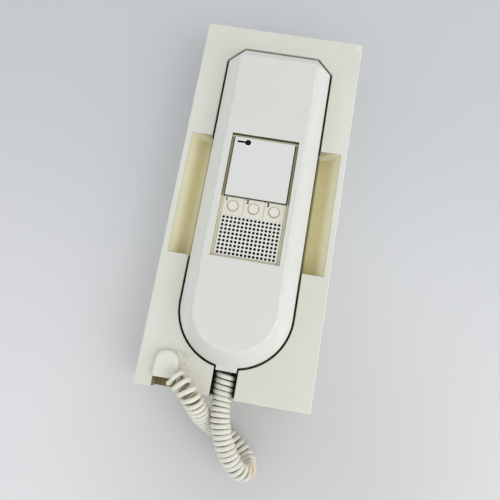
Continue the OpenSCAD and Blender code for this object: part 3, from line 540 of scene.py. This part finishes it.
def pick_faces(piece, wanted):
    """Selects faces whose middle, in millimetres, and normal pass a test."""
    bpy.ops.mesh.select_mode(type="FACE")
    bpy.ops.mesh.select_all(action="DESELECT")
    body = bmesh.from_edit_mesh(piece.data)
    for face in body.faces:
        if wanted(face.calc_center_median() / MM, face.normal):
            face.select_set(True)
    bmesh.update_edit_mesh(piece.data)


print("edges and faces can be picked by place")

# %% A copy of a CAD node with rounded edges
MERGE_WITHIN = 0.000002
FLAT_WITHIN, SMOOTH_WITHIN = math.radians(0.6), math.radians(40)


def soft_copy(node, name, rounds):
    """Each of rounds is a radius in millimetres, a number of segments, and a test of an edge's middle."""
    piece = bpy.data.objects.new(name, nodes[node].data.copy())
    scene.collection.objects.link(piece)
    open_piece(piece)
    bpy.ops.mesh.select_all(action="SELECT")
    bpy.ops.mesh.remove_doubles(threshold=MERGE_WITHIN)
    bpy.ops.mesh.dissolve_limited(angle_limit=FLAT_WITHIN)
    for radius, segments, wanted in rounds:
        count = pick_edges(piece, wanted)
        bpy.ops.mesh.bevel(offset=radius * MM, segments=segments, profile=0.5, clamp_overlap=False)
        body = bmesh.from_edit_mesh(piece.data)
        worn = body.faces.layers.float.get("worn_edge") or body.faces.layers.float.new("worn_edge")
        for face in body.faces:
            width = face.calc_area() / max(e.calc_length() for e in face.edges)
            if face.select and width < radius * MM:
                face[worn] = 1.0
        bmesh.update_edit_mesh(piece.data)
        print(name, "rounded", count, "edges by", radius, "mm")
    bpy.ops.object.mode_set(mode="OBJECT")
    bpy.ops.object.shade_smooth_by_angle(angle=SMOOTH_WITHIN)
    even = piece.modifiers.new("even_shading", "WEIGHTED_NORMAL")
    even.keep_sharp = True
    bpy.ops.object.modifier_apply(modifier=even.name)
    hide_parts(node)
    return piece


# %% [markdown]
# ## Base cover
# The cover has yellowed most in its finger pockets, where skin oils stay. In the pockets the lower end is
# painted darker as painted shade, and the left side by the handset and the upper end wall paler as painted
# light. The walls of the narrow gap round the handset and of the cord's channel are painted near-black as
# painted shade, and the plug's niche is painted dark brown. A painted shadow lies under the cord's strand and
# a painted highlight along the long edges. The upper right corner is scuffed, and there is grime by the hood.
# All of these are masks by place: the recess follows the handset's outline with its round end.

# %% Stains, painted light and painted shade of the finger pockets
POCKET_INNER, POCKET_OUTER, POCKET_END = 33.825, 46.7, 38.55


def pocket_stains_and_light(coords, patchy):
    x, y, z = places(coords)
    across, along = x.maths("ABSOLUTE"), y.maths("ABSOLUTE")
    pocket = fall(z, FACE - 1.8, FACE - 0.1) * past(across, POCKET_INNER, 0.075)
    pocket = pocket * short_of(across, POCKET_OUTER, 0.3) * short_of(along, POCKET_END, 0.15)
    deep = pocket * fall(across, 40.5, 45.0) * (0.75 + 0.4 * patchy)
    # Painted shade darkens the pocket's lower end; painted light pales the left pocket's side by the handset
    # and the upper end wall.
    low_end_shade = pocket * fall(y, -36, -18) * fall(across, 41, 45)
    inner_left_light = pocket * fall(across, 35.5, 39.0) * short_of(x, 0, 1)
    end_wall_light = pocket * rise(y, 36.2, 38.0)
    brim = rise(across, 36, 47) * fall(y, 60, 110) * fall(x - y, 30, 90) * rise(z, FACE - 0.5, FACE - 0.1)
    return [
        (brim * 0.6, (0.765, 0.76, 0.68)),
        (pocket * 0.9, (0.93, 0.89, 0.62)),
        (deep, (0.69, 0.61, 0.31)),
        (low_end_shade * 0.4, (0.50, 0.43, 0.18)),
        (inner_left_light * 0.75, (0.90, 0.85, 0.58)),
        (end_wall_light * 0.8, (0.88, 0.86, 0.68)),
    ]


print("pockets from", POCKET_INNER, "to", POCKET_OUTER, "mm across")

# %% Painted shade of the gap and the channel, the niche, and the cord's painted shadow
ARC_Y = -65.5
RECESS_HALF, RECESS_END, RECESS_CORNER = 33.95, 100.75, 124.55
WALL_FOOT = 15.8
CHANNEL_HALF, CHANNEL_END = 7.1, -98.25
NICHE_LEFT, NICHE_RIGHT, NICHE_END = -40.2, -26.3, -103.4
UNDER_STRAND = (-18, -112, 30)


def gap_shade_and_stains(coords, patchy):
    x, y, z = places(coords)
    across = x.maths("ABSOLUTE")
    reach = reach_of(x, (y - ARC_Y).maths("MINIMUM", 0.0))
    in_recess = short_of(reach, RECESS_HALF, 0.05) * short_of(y, RECESS_END, 0.05)
    in_recess = in_recess * short_of(across + y, RECESS_CORNER, 0.05)
    lip = past(reach, RECESS_HALF, 0.05) * fall(reach, 34.2, 35.0) * fall(y, 84, 88)
    shade_amount = (0.75 + 0.4 * patchy).maths("MINIMUM", 1.0)
    # Painted shade: the walls of the gap round the handset, browner at its upper end, and of the cord's
    # channel are painted near-black.
    gap = in_recess * fall(z, 26.5, 29.4) * rise(z, 16, 25) * shade_amount
    in_wall = past(z, WALL_FOOT, 0.1) * fall(z, 29.3, 29.8)
    channel = in_wall * short_of(across, CHANNEL_HALF, 0.05) * short_of(y, CHANNEL_END, 0.25)
    niche = in_wall * past(x, NICHE_LEFT, 0.1) * short_of(x, NICHE_RIGHT, 0.1) * short_of(y, NICHE_END, 0.2)
    # Painted shadow of the cord's strand on the cover's face.
    strand_shadow = near(coords, UNDER_STRAND, 4, 16) * (0.4 + 0.6 * patchy)
    return [
        (strand_shadow * 0.4, (0.58, 0.53, 0.38)),
        (lip * rise(z, FACE - 1, FACE - 0.4) * 0.45, (0.70, 0.65, 0.44)),
        (gap * 0.96, (0.035, 0.030, 0.018)),
        (gap * rise(y, 92, 99) * 0.85, (0.30, 0.24, 0.11)),
        (channel * 0.96, (0.015, 0.014, 0.011)),
        (niche * 0.93, (0.19, 0.14, 0.03)),
    ]


print("recess", 2 * RECESS_HALF, "mm wide")

# %% Stains of the corner and the hood, and a painted highlight on the long edges
base_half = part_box("base_cover")[1].x / MM
SCUFFED_CORNER, HOOD_BACK = (49.5, 114.5, 30), (-27.5, -98, 30)


def edge_stains_and_highlight(coords, patchy):
    x, y, z = places(coords)
    corner = near(coords, SCUFFED_CORNER, 2, 13) * rise(noise(coords, 330, 3), 0.45, 0.6)
    grime = near(coords, HOOD_BACK, 2, 12) * rise(noise(coords, 420, 4), 0.45, 0.62)
    hood_foot = rise(z, FACE + 0.1, FACE + 0.3) * fall(z, FACE + 0.7, FACE + 1.3) * rise(y, -101.5, -98)
    # Painted highlight: a pale line along the cover's long edges.
    edge_highlight = rise(x.maths("ABSOLUTE"), base_half - 0.5, base_half - 0.25)
    edge_highlight = edge_highlight * rise(z, FACE - 0.55, FACE - 0.2)
    return [
        (corner * 0.55, (0.80, 0.80, 0.81)),
        (grime * fall(z, FACE + 1, FACE + 3) * 0.5, (0.42, 0.38, 0.25)),
        (rise(z, FACE + 2.4, FACE + 3.4) * 0.9, (0.79, 0.775, 0.68)),
        (hood_foot * (0.2 + 0.8 * patchy) * 0.8, (0.30, 0.26, 0.15)),
        (edge_highlight * rise(noise(coords, 90, 4), 0.36, 0.56) * 0.75, (0.88, 0.88, 0.89)),
    ]


def base_stains_and_light(coords):
    patchy = noise(coords, 60, 4)
    return pocket_stains_and_light(coords, patchy) + gap_shade_and_stains(coords, patchy) + edge_stains_and_highlight(coords, patchy)


base_cream = plastic("base_cream", (0.70, 0.697, 0.62), (0.665, 0.655, 0.55), 0.40, base_stains_and_light)
print("base finish", len(base_cream.node_tree.nodes), "nodes")

# %% The base cover with soft edges
HOOD_LEFT, HOOD_RIGHT, HOOD_LOW, HOOD_HIGH = -40.6, -26.2, -109.4, -93.6
INSIDE_X, INSIDE_Y = 47, 114


def on_hood(p):
    return HOOD_LEFT < p.x < HOOD_RIGHT and HOOD_LOW < p.y < HOOD_HIGH


def inner_edge(p):
    return p.z > FACE - 0.1 and abs(p.x) < INSIDE_X and abs(p.y) < INSIDE_Y and not on_hood(p)


def outer_edge(p):
    return p.z > FACE - 0.6 and not inner_edge(p) and not on_hood(p)


def hood_rim(p):
    return p.z > FACE + 2.3 and on_hood(p)


base_cover = soft_copy("base_cover", "base_cover_shell", [
    (0.12, 3, outer_edge),
    (0.25, 3, inner_edge),
    (0.5, 4, hood_rim),
])
wear(base_cover, base_cream)
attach(base_cover, "base")

# %% [markdown]
# ## Handset
# The front is one shell with a flat top, sloping sides and a round lower end. The edges of its top are
# generously rounded, the foot of the slopes and the panel's opening only a little. The rear shell lies in the
# recess and shows when the handset is lifted.

# %% The handset's finish
PANEL_HALF, PANEL_LOW, PANEL_HIGH = 20.0, -38.7, 36.2
SLOPE_START = 25
KEY_LOW = -2.6
front_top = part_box("handset_front_shell")[1].z / MM
print("handset's top at", round(front_top, 2), "mm")


def handset_stains_and_light(coords):
    x, y, z = places(coords)
    across = x.maths("ABSOLUTE")
    # Painted light: the sloping sides are painted paler than the flat top.
    lit_slopes = past(across, SLOPE_START, 0.5) * fall(z, front_top - 0.5, front_top - 0.03)
    wall = short_of(across, PANEL_HALF, 0.05) * past(y, PANEL_LOW, 0.05) * short_of(y, PANEL_HIGH, 0.05)
    wall = wall * fall(z, front_top - 0.5, front_top - 0.1)
    return [
        (lit_slopes, (0.738, 0.743, 0.703)),
        (wall * 0.6, (0.50, 0.44, 0.28)),
        (wall * past(y, KEY_LOW, 0.6) * 0.85, (0.25, 0.19, 0.07)),
        (wall * rise(y, 35.0, 35.6), (0.09, 0.07, 0.02)),
    ]


handset_white = plastic("handset_white", (0.70, 0.705, 0.665), (0.68, 0.68, 0.61), 0.38, handset_stains_and_light)

# %% Handset shells
REAR_RIM_TOP, REAR_RIM_HALF, REAR_RIM_END = 16.4, 30.2, 98


def in_panel(p):
    return abs(p.x) < PANEL_HALF + 0.2 and PANEL_LOW - 0.2 < p.y < PANEL_HIGH + 0.2


def on_crest(p):
    return p.z > front_top - 0.1 and not in_panel(p)


def on_panel_rim(p):
    return p.z > front_top - 0.1 and in_panel(p)


def at_foot(p):
    return abs(p.z - FACE) < 0.1


def on_rear_rim(p):
    reach = math.hypot(p.x, min(p.y - ARC_Y, 0))
    return p.z < REAR_RIM_TOP and (reach > REAR_RIM_HALF or p.y > REAR_RIM_END)


front_skin = soft_copy("handset_front_shell", "handset_front_skin", [
    (1.1, 5, on_crest),
    (0.4, 3, at_foot),
    (0.35, 3, on_panel_rim),
])
rear_skin = soft_copy("handset_rear_shell", "handset_rear_skin", [(0.6, 3, on_rear_rim)])
for shell in (front_skin, rear_skin):
    wear(shell, handset_white)
    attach(shell, "handset")

# %% [markdown]
# ## Key button
# The big key is a plain white plate that tips on a pin. Its rim is rounded so that it shows a bright line,
# and its sides and foot are painted near-black as painted shade, which makes the black line round it.

# %% The key and its finish
KEY_HALF, KEY_END, KEY_RIM = 17.4, 33.55, 43.0
SIDE_SHADE_TOP, FOOT_SHADE_TOP = 42.5, 41.6


def key_shade(coords):
    x, y, z = places(coords)
    sides = past(x.maths("ABSOLUTE"), KEY_HALF, 0.1).maths("MAXIMUM", past(y, KEY_END, 0.15))
    # Painted shade: the key's sides and foot are painted near-black.
    shade_amount = (short_of(z, SIDE_SHADE_TOP, 0.2) * sides).maths("MAXIMUM", short_of(z, FOOT_SHADE_TOP, 0.2))
    return [(shade_amount * 0.95, (0.02, 0.018, 0.014))]


key_white = plastic("key_white", (0.715, 0.72, 0.685), (0.70, 0.70, 0.64), 0.36, key_shade, mottle=0.2)
key_plate = soft_copy("key_button", "key_plate", [(0.3, 3, lambda p: p.z > KEY_RIM)])
wear(key_plate, key_white)
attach(key_plate, "key")

# %% [markdown]
# ## Panel and grille
# The panel's rim is beige. Beside the key it is painted olive-brown as painted shade, where the proud key
# shades it, with its gaps there painted near-black as painted shade. A thin brown ring is painted round each
# button. The bezel behind the grille is painted black as painted shade, so every hole is dark.

# %% Finish of the panel
BUTTON_XS, BUTTON_Y = (-12.0, 0.0, 12.0), -7.93
RIM_INNER, RIM_OUTER, SLIT_OUTER = 17.85, 19.5, 18.525
BEHIND_GRILLE_HALF, BEHIND_GRILLE_END, BEHIND_GRILLE_TOP = 18.1, -13.6, 40.5
strip_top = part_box("panel_bezel")[1].z / MM


def panel_stains_and_shade(coords):
    x, y, z = places(coords)
    across = x.maths("ABSOLUTE")
    rim = past(across, RIM_INNER, 0.1)
    beside_key = past(y, KEY_LOW, 0.6)
    slit_shade = short_of(across, SLIT_OUTER, 0.125) * beside_key * fall(y, 34.4, 34.7)
    inner_line = rise(across, 17.75, 17.9) * fall(across, 18.1, 18.3)
    low_lines = (1 - beside_key) * (past(across, RIM_OUTER, 0.2) + inner_line).maths("MINIMUM", 1.0)
    behind_grille_shade = short_of(z, BEHIND_GRILLE_TOP, 0.1) * short_of(across, BEHIND_GRILLE_HALF, 0.1) * short_of(y, BEHIND_GRILLE_END, 0.1)
    layers = [
        (rim * 0.7, (0.58, 0.54, 0.39)),
        # Painted shade beside the key: the rim olive-brown, a dark line along its outer edge, and the slits
        # near-black.
        (rim * beside_key * 0.9, (0.46, 0.40, 0.19)),
        (rise(across, 19.2, 19.6) * beside_key * 0.7, (0.16, 0.12, 0.04)),
        (low_lines * 0.55, (0.40, 0.34, 0.20)),
        (rise(y, 34.1, 34.3) * 0.9, (0.72, 0.68, 0.49)),
        # Partly painted shade, partly grime: the dark line at the rim's top.
        (rise(y, 35.3, 35.8) * 0.95, (0.10, 0.08, 0.03)),
        (slit_shade * 0.93, (0.03, 0.026, 0.018)),
        # Painted shade: the bezel behind the grille is painted black.
        (behind_grille_shade * 0.97, (0.01, 0.01, 0.01)),
        (fall(y, -37.6, -37.0) * 0.7, (0.52, 0.48, 0.34)),
    ]
    for place in BUTTON_XS:
        layers.append((near(coords, (place, BUTTON_Y, strip_top), 3.2, 3.4) * 0.75, (0.42, 0.35, 0.20)))
    return layers


panel_cream = plastic("panel_cream", (0.755, 0.735, 0.635), (0.72, 0.69, 0.56), 0.40, panel_stains_and_shade)
wear(nodes["panel_bezel"], panel_cream)
print("panel finish", len(panel_cream.node_tree.nodes), "nodes; strip at", round(strip_top, 2), "mm")

# %% Finish of the grille
GRILLE_PITCH, HOLE_RADIUS, HOLES_HALF = 2.3, 0.84, 17.05
grille_low, grille_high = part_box("grille_plate")
grille_top, grille_y = grille_high.z / MM, (grille_low.y + grille_high.y) / 2 / MM


def grille_shade(coords):
    x, y, z = places(coords)
    across = x.maths("PINGPONG", GRILLE_PITCH / 2)
    along = (y + GRILLE_PITCH / 2 - grille_y).maths("PINGPONG", GRILLE_PITCH / 2)
    hole_shade = short_of(reach_of(across, along), HOLE_RADIUS, 0.04)
    hole_shade = hole_shade * short_of(x.maths("ABSOLUTE"), HOLES_HALF, 0.05)
    wall_shade = fall(z, grille_top - 0.12, grille_top - 0.03)
    # Painted shade: the holes' rims and walls are painted black.
    return [(hole_shade * 0.85, (0.02, 0.02, 0.02)), (wall_shade * 0.97, (0.01, 0.01, 0.01))]


grille_white = plastic("grille_white", (0.78, 0.775, 0.72), (0.75, 0.73, 0.64), 0.40, grille_shade)
wear(nodes["grille_plate"], grille_white)
print("grille at", round(grille_top, 2), "mm")

# %% [markdown]
# ## Round buttons
# Each button is a turned shape: a wide flange that the panel holds back, a round stem and a slightly dished
# top with a soft rim. It starts as the flange, grows by inset and extrude, and is then copied twice.

# %% One round button
FLANGE_R, FLANGE_H, STEM_R = 4.0, 1.2, 3.0
ROUND, RIM_RADIUS, HAIR = 64, 0.35, 0.01
DISH = ((0.5, 0.06), (0.8, 0.08))
flange_low, flange_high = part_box("button_1")
stem_h = (flange_high.z - flange_low.z) / MM - FLANGE_H
top_z = FLANGE_H / 2 + stem_h
bpy.ops.object.select_all(action="DESELECT")
bpy.ops.mesh.primitive_cylinder_add(
    vertices=ROUND, radius=FLANGE_R * MM, depth=FLANGE_H * MM,
    location=(BUTTON_XS[0] * MM, BUTTON_Y * MM, flange_low.z + FLANGE_H * MM / 2))
button = bpy.context.object
button.name = "round_button_1"
open_piece(button)
pick_faces(button, lambda p, n: n.z > 0.9)
bpy.ops.mesh.inset(thickness=(FLANGE_R - STEM_R) * MM)
bpy.ops.mesh.extrude_region_move(TRANSFORM_OT_translate={"value": (0, 0, stem_h * MM)})
pick_edges(button, lambda p: p.z > top_z - HAIR, 60)
bpy.ops.mesh.bevel(offset=RIM_RADIUS * MM, segments=4, profile=0.5)
for inset, sink in DISH:
    pick_faces(button, lambda p, n: n.z > 0.9 and p.z > top_z - 0.3 and math.hypot(p.x, p.y) < 0.1)
    bpy.ops.mesh.inset(thickness=inset * MM)
    bpy.ops.transform.translate(value=(0, 0, -sink * MM))
bpy.ops.object.mode_set(mode="OBJECT")
bpy.ops.object.transform_apply(location=True, rotation=True, scale=True)
bpy.ops.object.shade_smooth_by_angle(angle=SMOOTH_WITHIN)
print("button", [round(d / MM, 2) for d in button.dimensions])

# %% Three buttons
button_top = flange_high.z / MM


def button_stains(coords):
    tops = [near(coords, (place, BUTTON_Y, button_top), 2.65, 2.9) for place in BUTTON_XS]
    return [((1 - (tops[0] + tops[1] + tops[2])) * 0.8, (0.40, 0.33, 0.19))]


def copy_piece(piece, name, shift):
    """A copy with its own mesh, moved by so many metres."""
    bpy.ops.object.select_all(action="DESELECT")
    piece.select_set(True)
    bpy.context.view_layer.objects.active = piece
    bpy.ops.object.duplicate(linked=False)
    twin = bpy.context.object
    twin.name = name
    bpy.ops.transform.translate(value=shift)
    bpy.ops.object.transform_apply(location=True, rotation=True, scale=True)
    return twin


button_cream = plastic("button_cream", (0.77, 0.755, 0.67), (0.74, 0.72, 0.61), 0.38, button_stains)
buttons = [button]
for i, place in enumerate(BUTTON_XS[1:], 2):
    buttons.append(copy_piece(button, f"round_button_{i}", ((place - BUTTON_XS[0]) * MM, 0, 0)))
for i, piece in enumerate(buttons, 1):
    wear(piece, button_cream)
    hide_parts(f"button_{i}")
    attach(piece, f"button_{i}")
print("buttons", [p.name for p in buttons])

# %% [markdown]
# ## Printed marks
# The numbers are printed in black above the buttons, and a small key sign is printed on the key. Text is made
# a mesh with a hair of thickness, as ink has. The sign is a ring made by bridging two circles, and a bar.

# %% Ink and numbers
INK = 0.02
NUMBERS, NUMBER_Y = (("1", -16.2), ("2", -4.0), ("3", 7.9)), -4.2
NUMBER_HEIGHT, CAP_SHARE, BOLDER = 2.2, 0.7, 0.14


def ink_finish():
    material, shader, coords = blank("black_ink")
    rubbed = rise(noise(coords, 1500, 3), 0.55, 0.8)
    feed(shader, {"Base Color": tint(rubbed * 0.2, rgb((0.004, 0.004, 0.005)), rgb((0.09, 0.085, 0.075))),
                  "Roughness": 0.45 + 0.2 * rubbed})
    shader.inputs["Specular IOR Level"].default_value = 0.05
    return material


def printed(piece, body):
    """Makes the active mesh a printed mark that goes with a body."""
    bpy.ops.object.transform_apply(location=True, rotation=True, scale=True)
    wear(piece, black_ink)
    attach(piece, body)


black_ink = ink_finish()
for number, x in NUMBERS:
    bpy.ops.object.select_all(action="DESELECT")
    bpy.ops.object.text_add(location=(x * MM, NUMBER_Y * MM, (strip_top + INK / 2) * MM))
    word = bpy.context.object
    word.name = "number_" + number
    word.data.body = number
    word.data.size = NUMBER_HEIGHT / CAP_SHARE * MM
    word.data.align_x, word.data.align_y = "CENTER", "CENTER"
    word.data.extrude = INK * MM
    word.data.offset = BOLDER * MM
    bpy.ops.object.convert(target="MESH")
    printed(bpy.context.object, "handset")
    print(word.name, [round(d / MM, 2) for d in bpy.context.object.dimensions])

# %% Key sign
SIGN_X, SIGN_Y, SIGN_R, SIGN_HOLE_R = -9.8, 31.1, 1.75, 0.14
BAR_END_X, BAR_WIDTH, BAR_OVERLAP, BAR_ROUND = -16.1, 1.2, 0.2, 0.3
SIGN_POINTS = 40
key_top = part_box("key_button")[1].z
sign_place = (SIGN_X * MM, SIGN_Y * MM, key_top)
bpy.ops.object.select_all(action="DESELECT")
bpy.ops.mesh.primitive_circle_add(vertices=SIGN_POINTS, radius=SIGN_R * MM, location=sign_place)
sign = bpy.context.object
sign.name = "key_sign"
bpy.ops.object.mode_set(mode="EDIT")
bpy.ops.mesh.primitive_circle_add(vertices=SIGN_POINTS, radius=SIGN_HOLE_R * MM, location=sign_place)
bpy.ops.mesh.select_all(action="SELECT")
bpy.ops.mesh.bridge_edge_loops()
bpy.ops.mesh.select_all(action="DESELECT")
bar_start_x = SIGN_X - SIGN_R + BAR_OVERLAP
bar_place = ((BAR_END_X + bar_start_x) / 2 * MM, SIGN_Y * MM, key_top)
bpy.ops.mesh.primitive_plane_add(size=MM, location=bar_place)
bpy.ops.transform.resize(value=(bar_start_x - BAR_END_X, BAR_WIDTH, 1))
bpy.ops.mesh.bevel(offset=BAR_ROUND * MM, segments=4, affect="VERTICES")
bpy.ops.mesh.select_all(action="SELECT")
bpy.ops.mesh.normals_make_consistent(inside=False)
bpy.ops.mesh.extrude_region_move(TRANSFORM_OT_translate={"value": (0, 0, INK * MM)})
bpy.ops.mesh.select_all(action="SELECT")
bpy.ops.mesh.normals_make_consistent(inside=False)
bpy.ops.object.mode_set(mode="OBJECT")
printed(sign, "key")
print("key sign", [round(d / MM, 2) for d in sign.dimensions])

# %% [markdown]
# ## Screws
# One cross-head screw holds the base cover, and four hold the handset's shells. The first of each kind is
# modelled: a head with a rounded rim, a stem grown from its underside, and two slots cut by thin blocks with
# a Boolean modifier. The other three are copies.

# %% A metal finish
SCRATCHES, SCRATCH_DEPTH = 4200, 0.0001


def metal(name, bright, dull, roughness=0.32):
    material, shader, coords = blank(name)
    dullness = rise(noise(coords, 300, 4), 0.4, 0.7)
    scratches = noise(coords, SCRATCHES, 2)
    bump = scratches.node("Bump", (), {"Height": scratches, "Strength": 0.08, "Distance": SCRATCH_DEPTH})
    feed(shader, {"Base Color": tint(dullness, rgb(bright), rgb(dull)),
                  "Roughness": roughness + 0.2 * dullness, "Normal": bump})
    shader.inputs["Metallic"].default_value = 1.0
    return material


steel = metal("zinc_steel", (0.62, 0.62, 0.61), (0.42, 0.41, 0.39))
print("steel finish", len(steel.node_tree.nodes), "nodes")

# %% One cross-head screw
HEAD_R, SCREW_R, HEAD_ROUND = 2.7, 1.4, 0.5
TIP_L, TIP_SHARE = 0.8, 0.4
SLOT_L, SLOT_W, SLOT_H = 3.2, 0.75, 2.2


def cross_screw(name, head_h, stem_l, place, turn):
    """A screw with its head's top at a place; unturned, its head looks up."""
    bpy.ops.object.select_all(action="DESELECT")
    bpy.ops.mesh.primitive_cylinder_add(vertices=32, radius=HEAD_R * MM, depth=head_h * MM,
                                        location=(0, 0, -head_h * MM / 2))
    screw = bpy.context.object
    screw.name = name
    open_piece(screw)
    pick_faces(screw, lambda p, n: n.z < -0.9)
    bpy.ops.mesh.inset(thickness=(HEAD_R - SCREW_R) * MM)
    bpy.ops.mesh.extrude_region_move(TRANSFORM_OT_translate={"value": (0, 0, -(stem_l - TIP_L) * MM)})
    bpy.ops.mesh.extrude_region_move(TRANSFORM_OT_translate={"value": (0, 0, -TIP_L * MM)})
    bpy.ops.transform.resize(value=(TIP_SHARE, TIP_SHARE, 1))
    pick_edges(screw, lambda p: p.z > head_h / 2 - HAIR, 60)
    bpy.ops.mesh.bevel(offset=HEAD_ROUND * MM, segments=4, profile=0.5)
    bpy.ops.object.mode_set(mode="OBJECT")
    for size in ((SLOT_L, SLOT_W, SLOT_H), (SLOT_W, SLOT_L, SLOT_H)):
        bpy.ops.mesh.primitive_cube_add(size=MM, location=(0, 0, 0), scale=size)
        block = bpy.context.object
        bpy.ops.object.transform_apply(location=True, rotation=True, scale=True)
        bpy.ops.object.select_all(action="DESELECT")
        screw.select_set(True)
        bpy.context.view_layer.objects.active = screw
        slot = screw.modifiers.new("slot", "BOOLEAN")
        slot.operation, slot.object = "DIFFERENCE", block
        bpy.ops.object.modifier_apply(modifier="slot")
        bpy.data.objects.remove(block)
    screw.location, screw.rotation_euler = [c * MM for c in place], turn
    bpy.ops.object.transform_apply(location=True, rotation=True, scale=True)
    bpy.ops.object.shade_smooth_by_angle(angle=math.radians(35))
    print(name, [round(d / MM, 2) for d in screw.dimensions])
    return wear(screw, steel)


# %% The cover's screw and the handset's four
COVER_SCREW = (30, -115, 8)
SHELL_SCREW_X, SHELL_SCREW_Y, SHELL_SCREW_Z = 18, 82.3, 16.3
OTHER_SCREWS = ((-18, 82.3), (18, -58), (-18, -58))
cover_screw = cross_screw("cover_screw_cross", 1.8, 8.7, COVER_SCREW, (math.pi / 2, 0, 0))
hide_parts("cover_screw")
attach(cover_screw, "base")
first_place = (SHELL_SCREW_X, SHELL_SCREW_Y, SHELL_SCREW_Z)
first_screw = cross_screw("shell_screw_1", 2.0, 13.7, first_place, (math.pi, 0, 0))
shell_screws = [first_screw]
for i, (x, y) in enumerate(OTHER_SCREWS, 2):
    shift = ((x - SHELL_SCREW_X) * MM, (y - SHELL_SCREW_Y) * MM, 0)
    shell_screws.append(copy_piece(first_screw, f"shell_screw_{i}", shift))
for screw in shell_screws:
    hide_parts("handset_screws")
    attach(screw, "handset")
print("screws", [screw.name for screw in (cover_screw, *shell_screws)])

# %% [markdown]
# ## Inner parts
# The parts inside are seen only in a cutaway or when a piece is taken off, but they get real finishes too: a
# green board with paler tracks, black chips, rubber domes and a paper cone.


# %% Finishes of the inner parts
def circuit_board():
    material, shader, coords = blank("circuit_board")
    tracks = coords.node("TexBrick", {"offset": 0.35}, {"Vector": coords, "Scale": 120, "Mortar Size": 0.06,
                                                        "Color1": rgb((1, 1, 1)), "Color2": rgb((1, 1, 1)),
                                                        "Mortar": rgb((0, 0, 0))}, "Fac")
    clouds = rise(noise(coords, 200, 3), 0.35, 0.7)
    green = tint(clouds, rgb((0.02, 0.13, 0.05)), rgb((0.03, 0.18, 0.07)))
    paint = tint(tracks * 0.6, green, rgb((0.10, 0.30, 0.13)))
    feed(shader, {"Base Color": paint, "Roughness": 0.3 + 0.2 * clouds})
    return material


plate_grey = plastic("plate_grey", (0.55, 0.545, 0.50), (0.48, 0.47, 0.41), 0.5)
plug_pale = plastic("plug_pale", (0.52, 0.51, 0.46), (0.42, 0.40, 0.33), 0.3)
dark_rubber = plastic("dark_rubber", (0.022, 0.022, 0.023), (0.035, 0.034, 0.032), 0.7,
                      rubbed=(0.06, 0.06, 0.06))
pale_rubber = plastic("pale_rubber", (0.5, 0.5, 0.48), (0.45, 0.44, 0.40), 0.6)
chip_black = plastic("chip_black", (0.02, 0.02, 0.022), (0.03, 0.03, 0.03), 0.5)
capacitor_sleeve = plastic("capacitor_sleeve", (0.03, 0.035, 0.12), (0.02, 0.025, 0.08), 0.25)
terminal_green = plastic("terminal_green", (0.04, 0.24, 0.08), (0.05, 0.20, 0.08), 0.4)
paper_cone = plastic("paper_cone", (0.03, 0.028, 0.026), (0.05, 0.047, 0.043), 0.85)
ferrite = metal("dull_ferrite", (0.20, 0.20, 0.21), (0.13, 0.13, 0.135), 0.5)
BY_SLOT = {"base_plastic": base_cream, "plate_plastic": plate_grey, "handset_plastic": handset_white,
           "panel_plastic": panel_cream, "key_plastic": key_white, "button_plastic": button_cream,
           "grille_plastic": grille_white, "cord_plastic": cord_sleeve, "plug_plastic": plug_pale,
           "steel": steel, "dark_rubber": dark_rubber, "light_rubber": pale_rubber, "board": circuit_board(),
           "chip": chip_black, "capacitor": capacitor_sleeve, "terminal": terminal_green, "cone": paper_cone,
           "magnet": ferrite}
for part in frame["record"]["subparts"]:
    wear(nodes[part["node"]], BY_SLOT[part["material_slot"]])

# %% [markdown]
# ## Rubber domes
# A rubber dome lies under the key and under each round button; in the station it gives way when pressed.
# The three domes of the buttons are one CAD piece, so each copy keeps only the dome under its own button.

# %% Domes between the handset and what presses them
DOME_REACH = 5


def soft_dome(node, body, centre_x):
    """The one dome of a node that a body presses."""
    dome = soft_copy(node, body + "_dome_soft", [])
    open_piece(dome)
    pick_faces(dome, lambda p, n: abs(p.x - centre_x) > DOME_REACH)
    bpy.ops.mesh.delete(type="FACE")
    bpy.ops.object.mode_set(mode="OBJECT")
    wear(dome, pale_rubber)
    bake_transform(dome)
    return dome


domes = [soft_dome("key_dome", "key", 0.0)]
domes += [soft_dome("button_domes", f"button_{i}", x) for i, x in enumerate(BUTTON_XS, 1)]
print("domes", [(dome.name, len(dome.data.polygons)) for dome in domes])
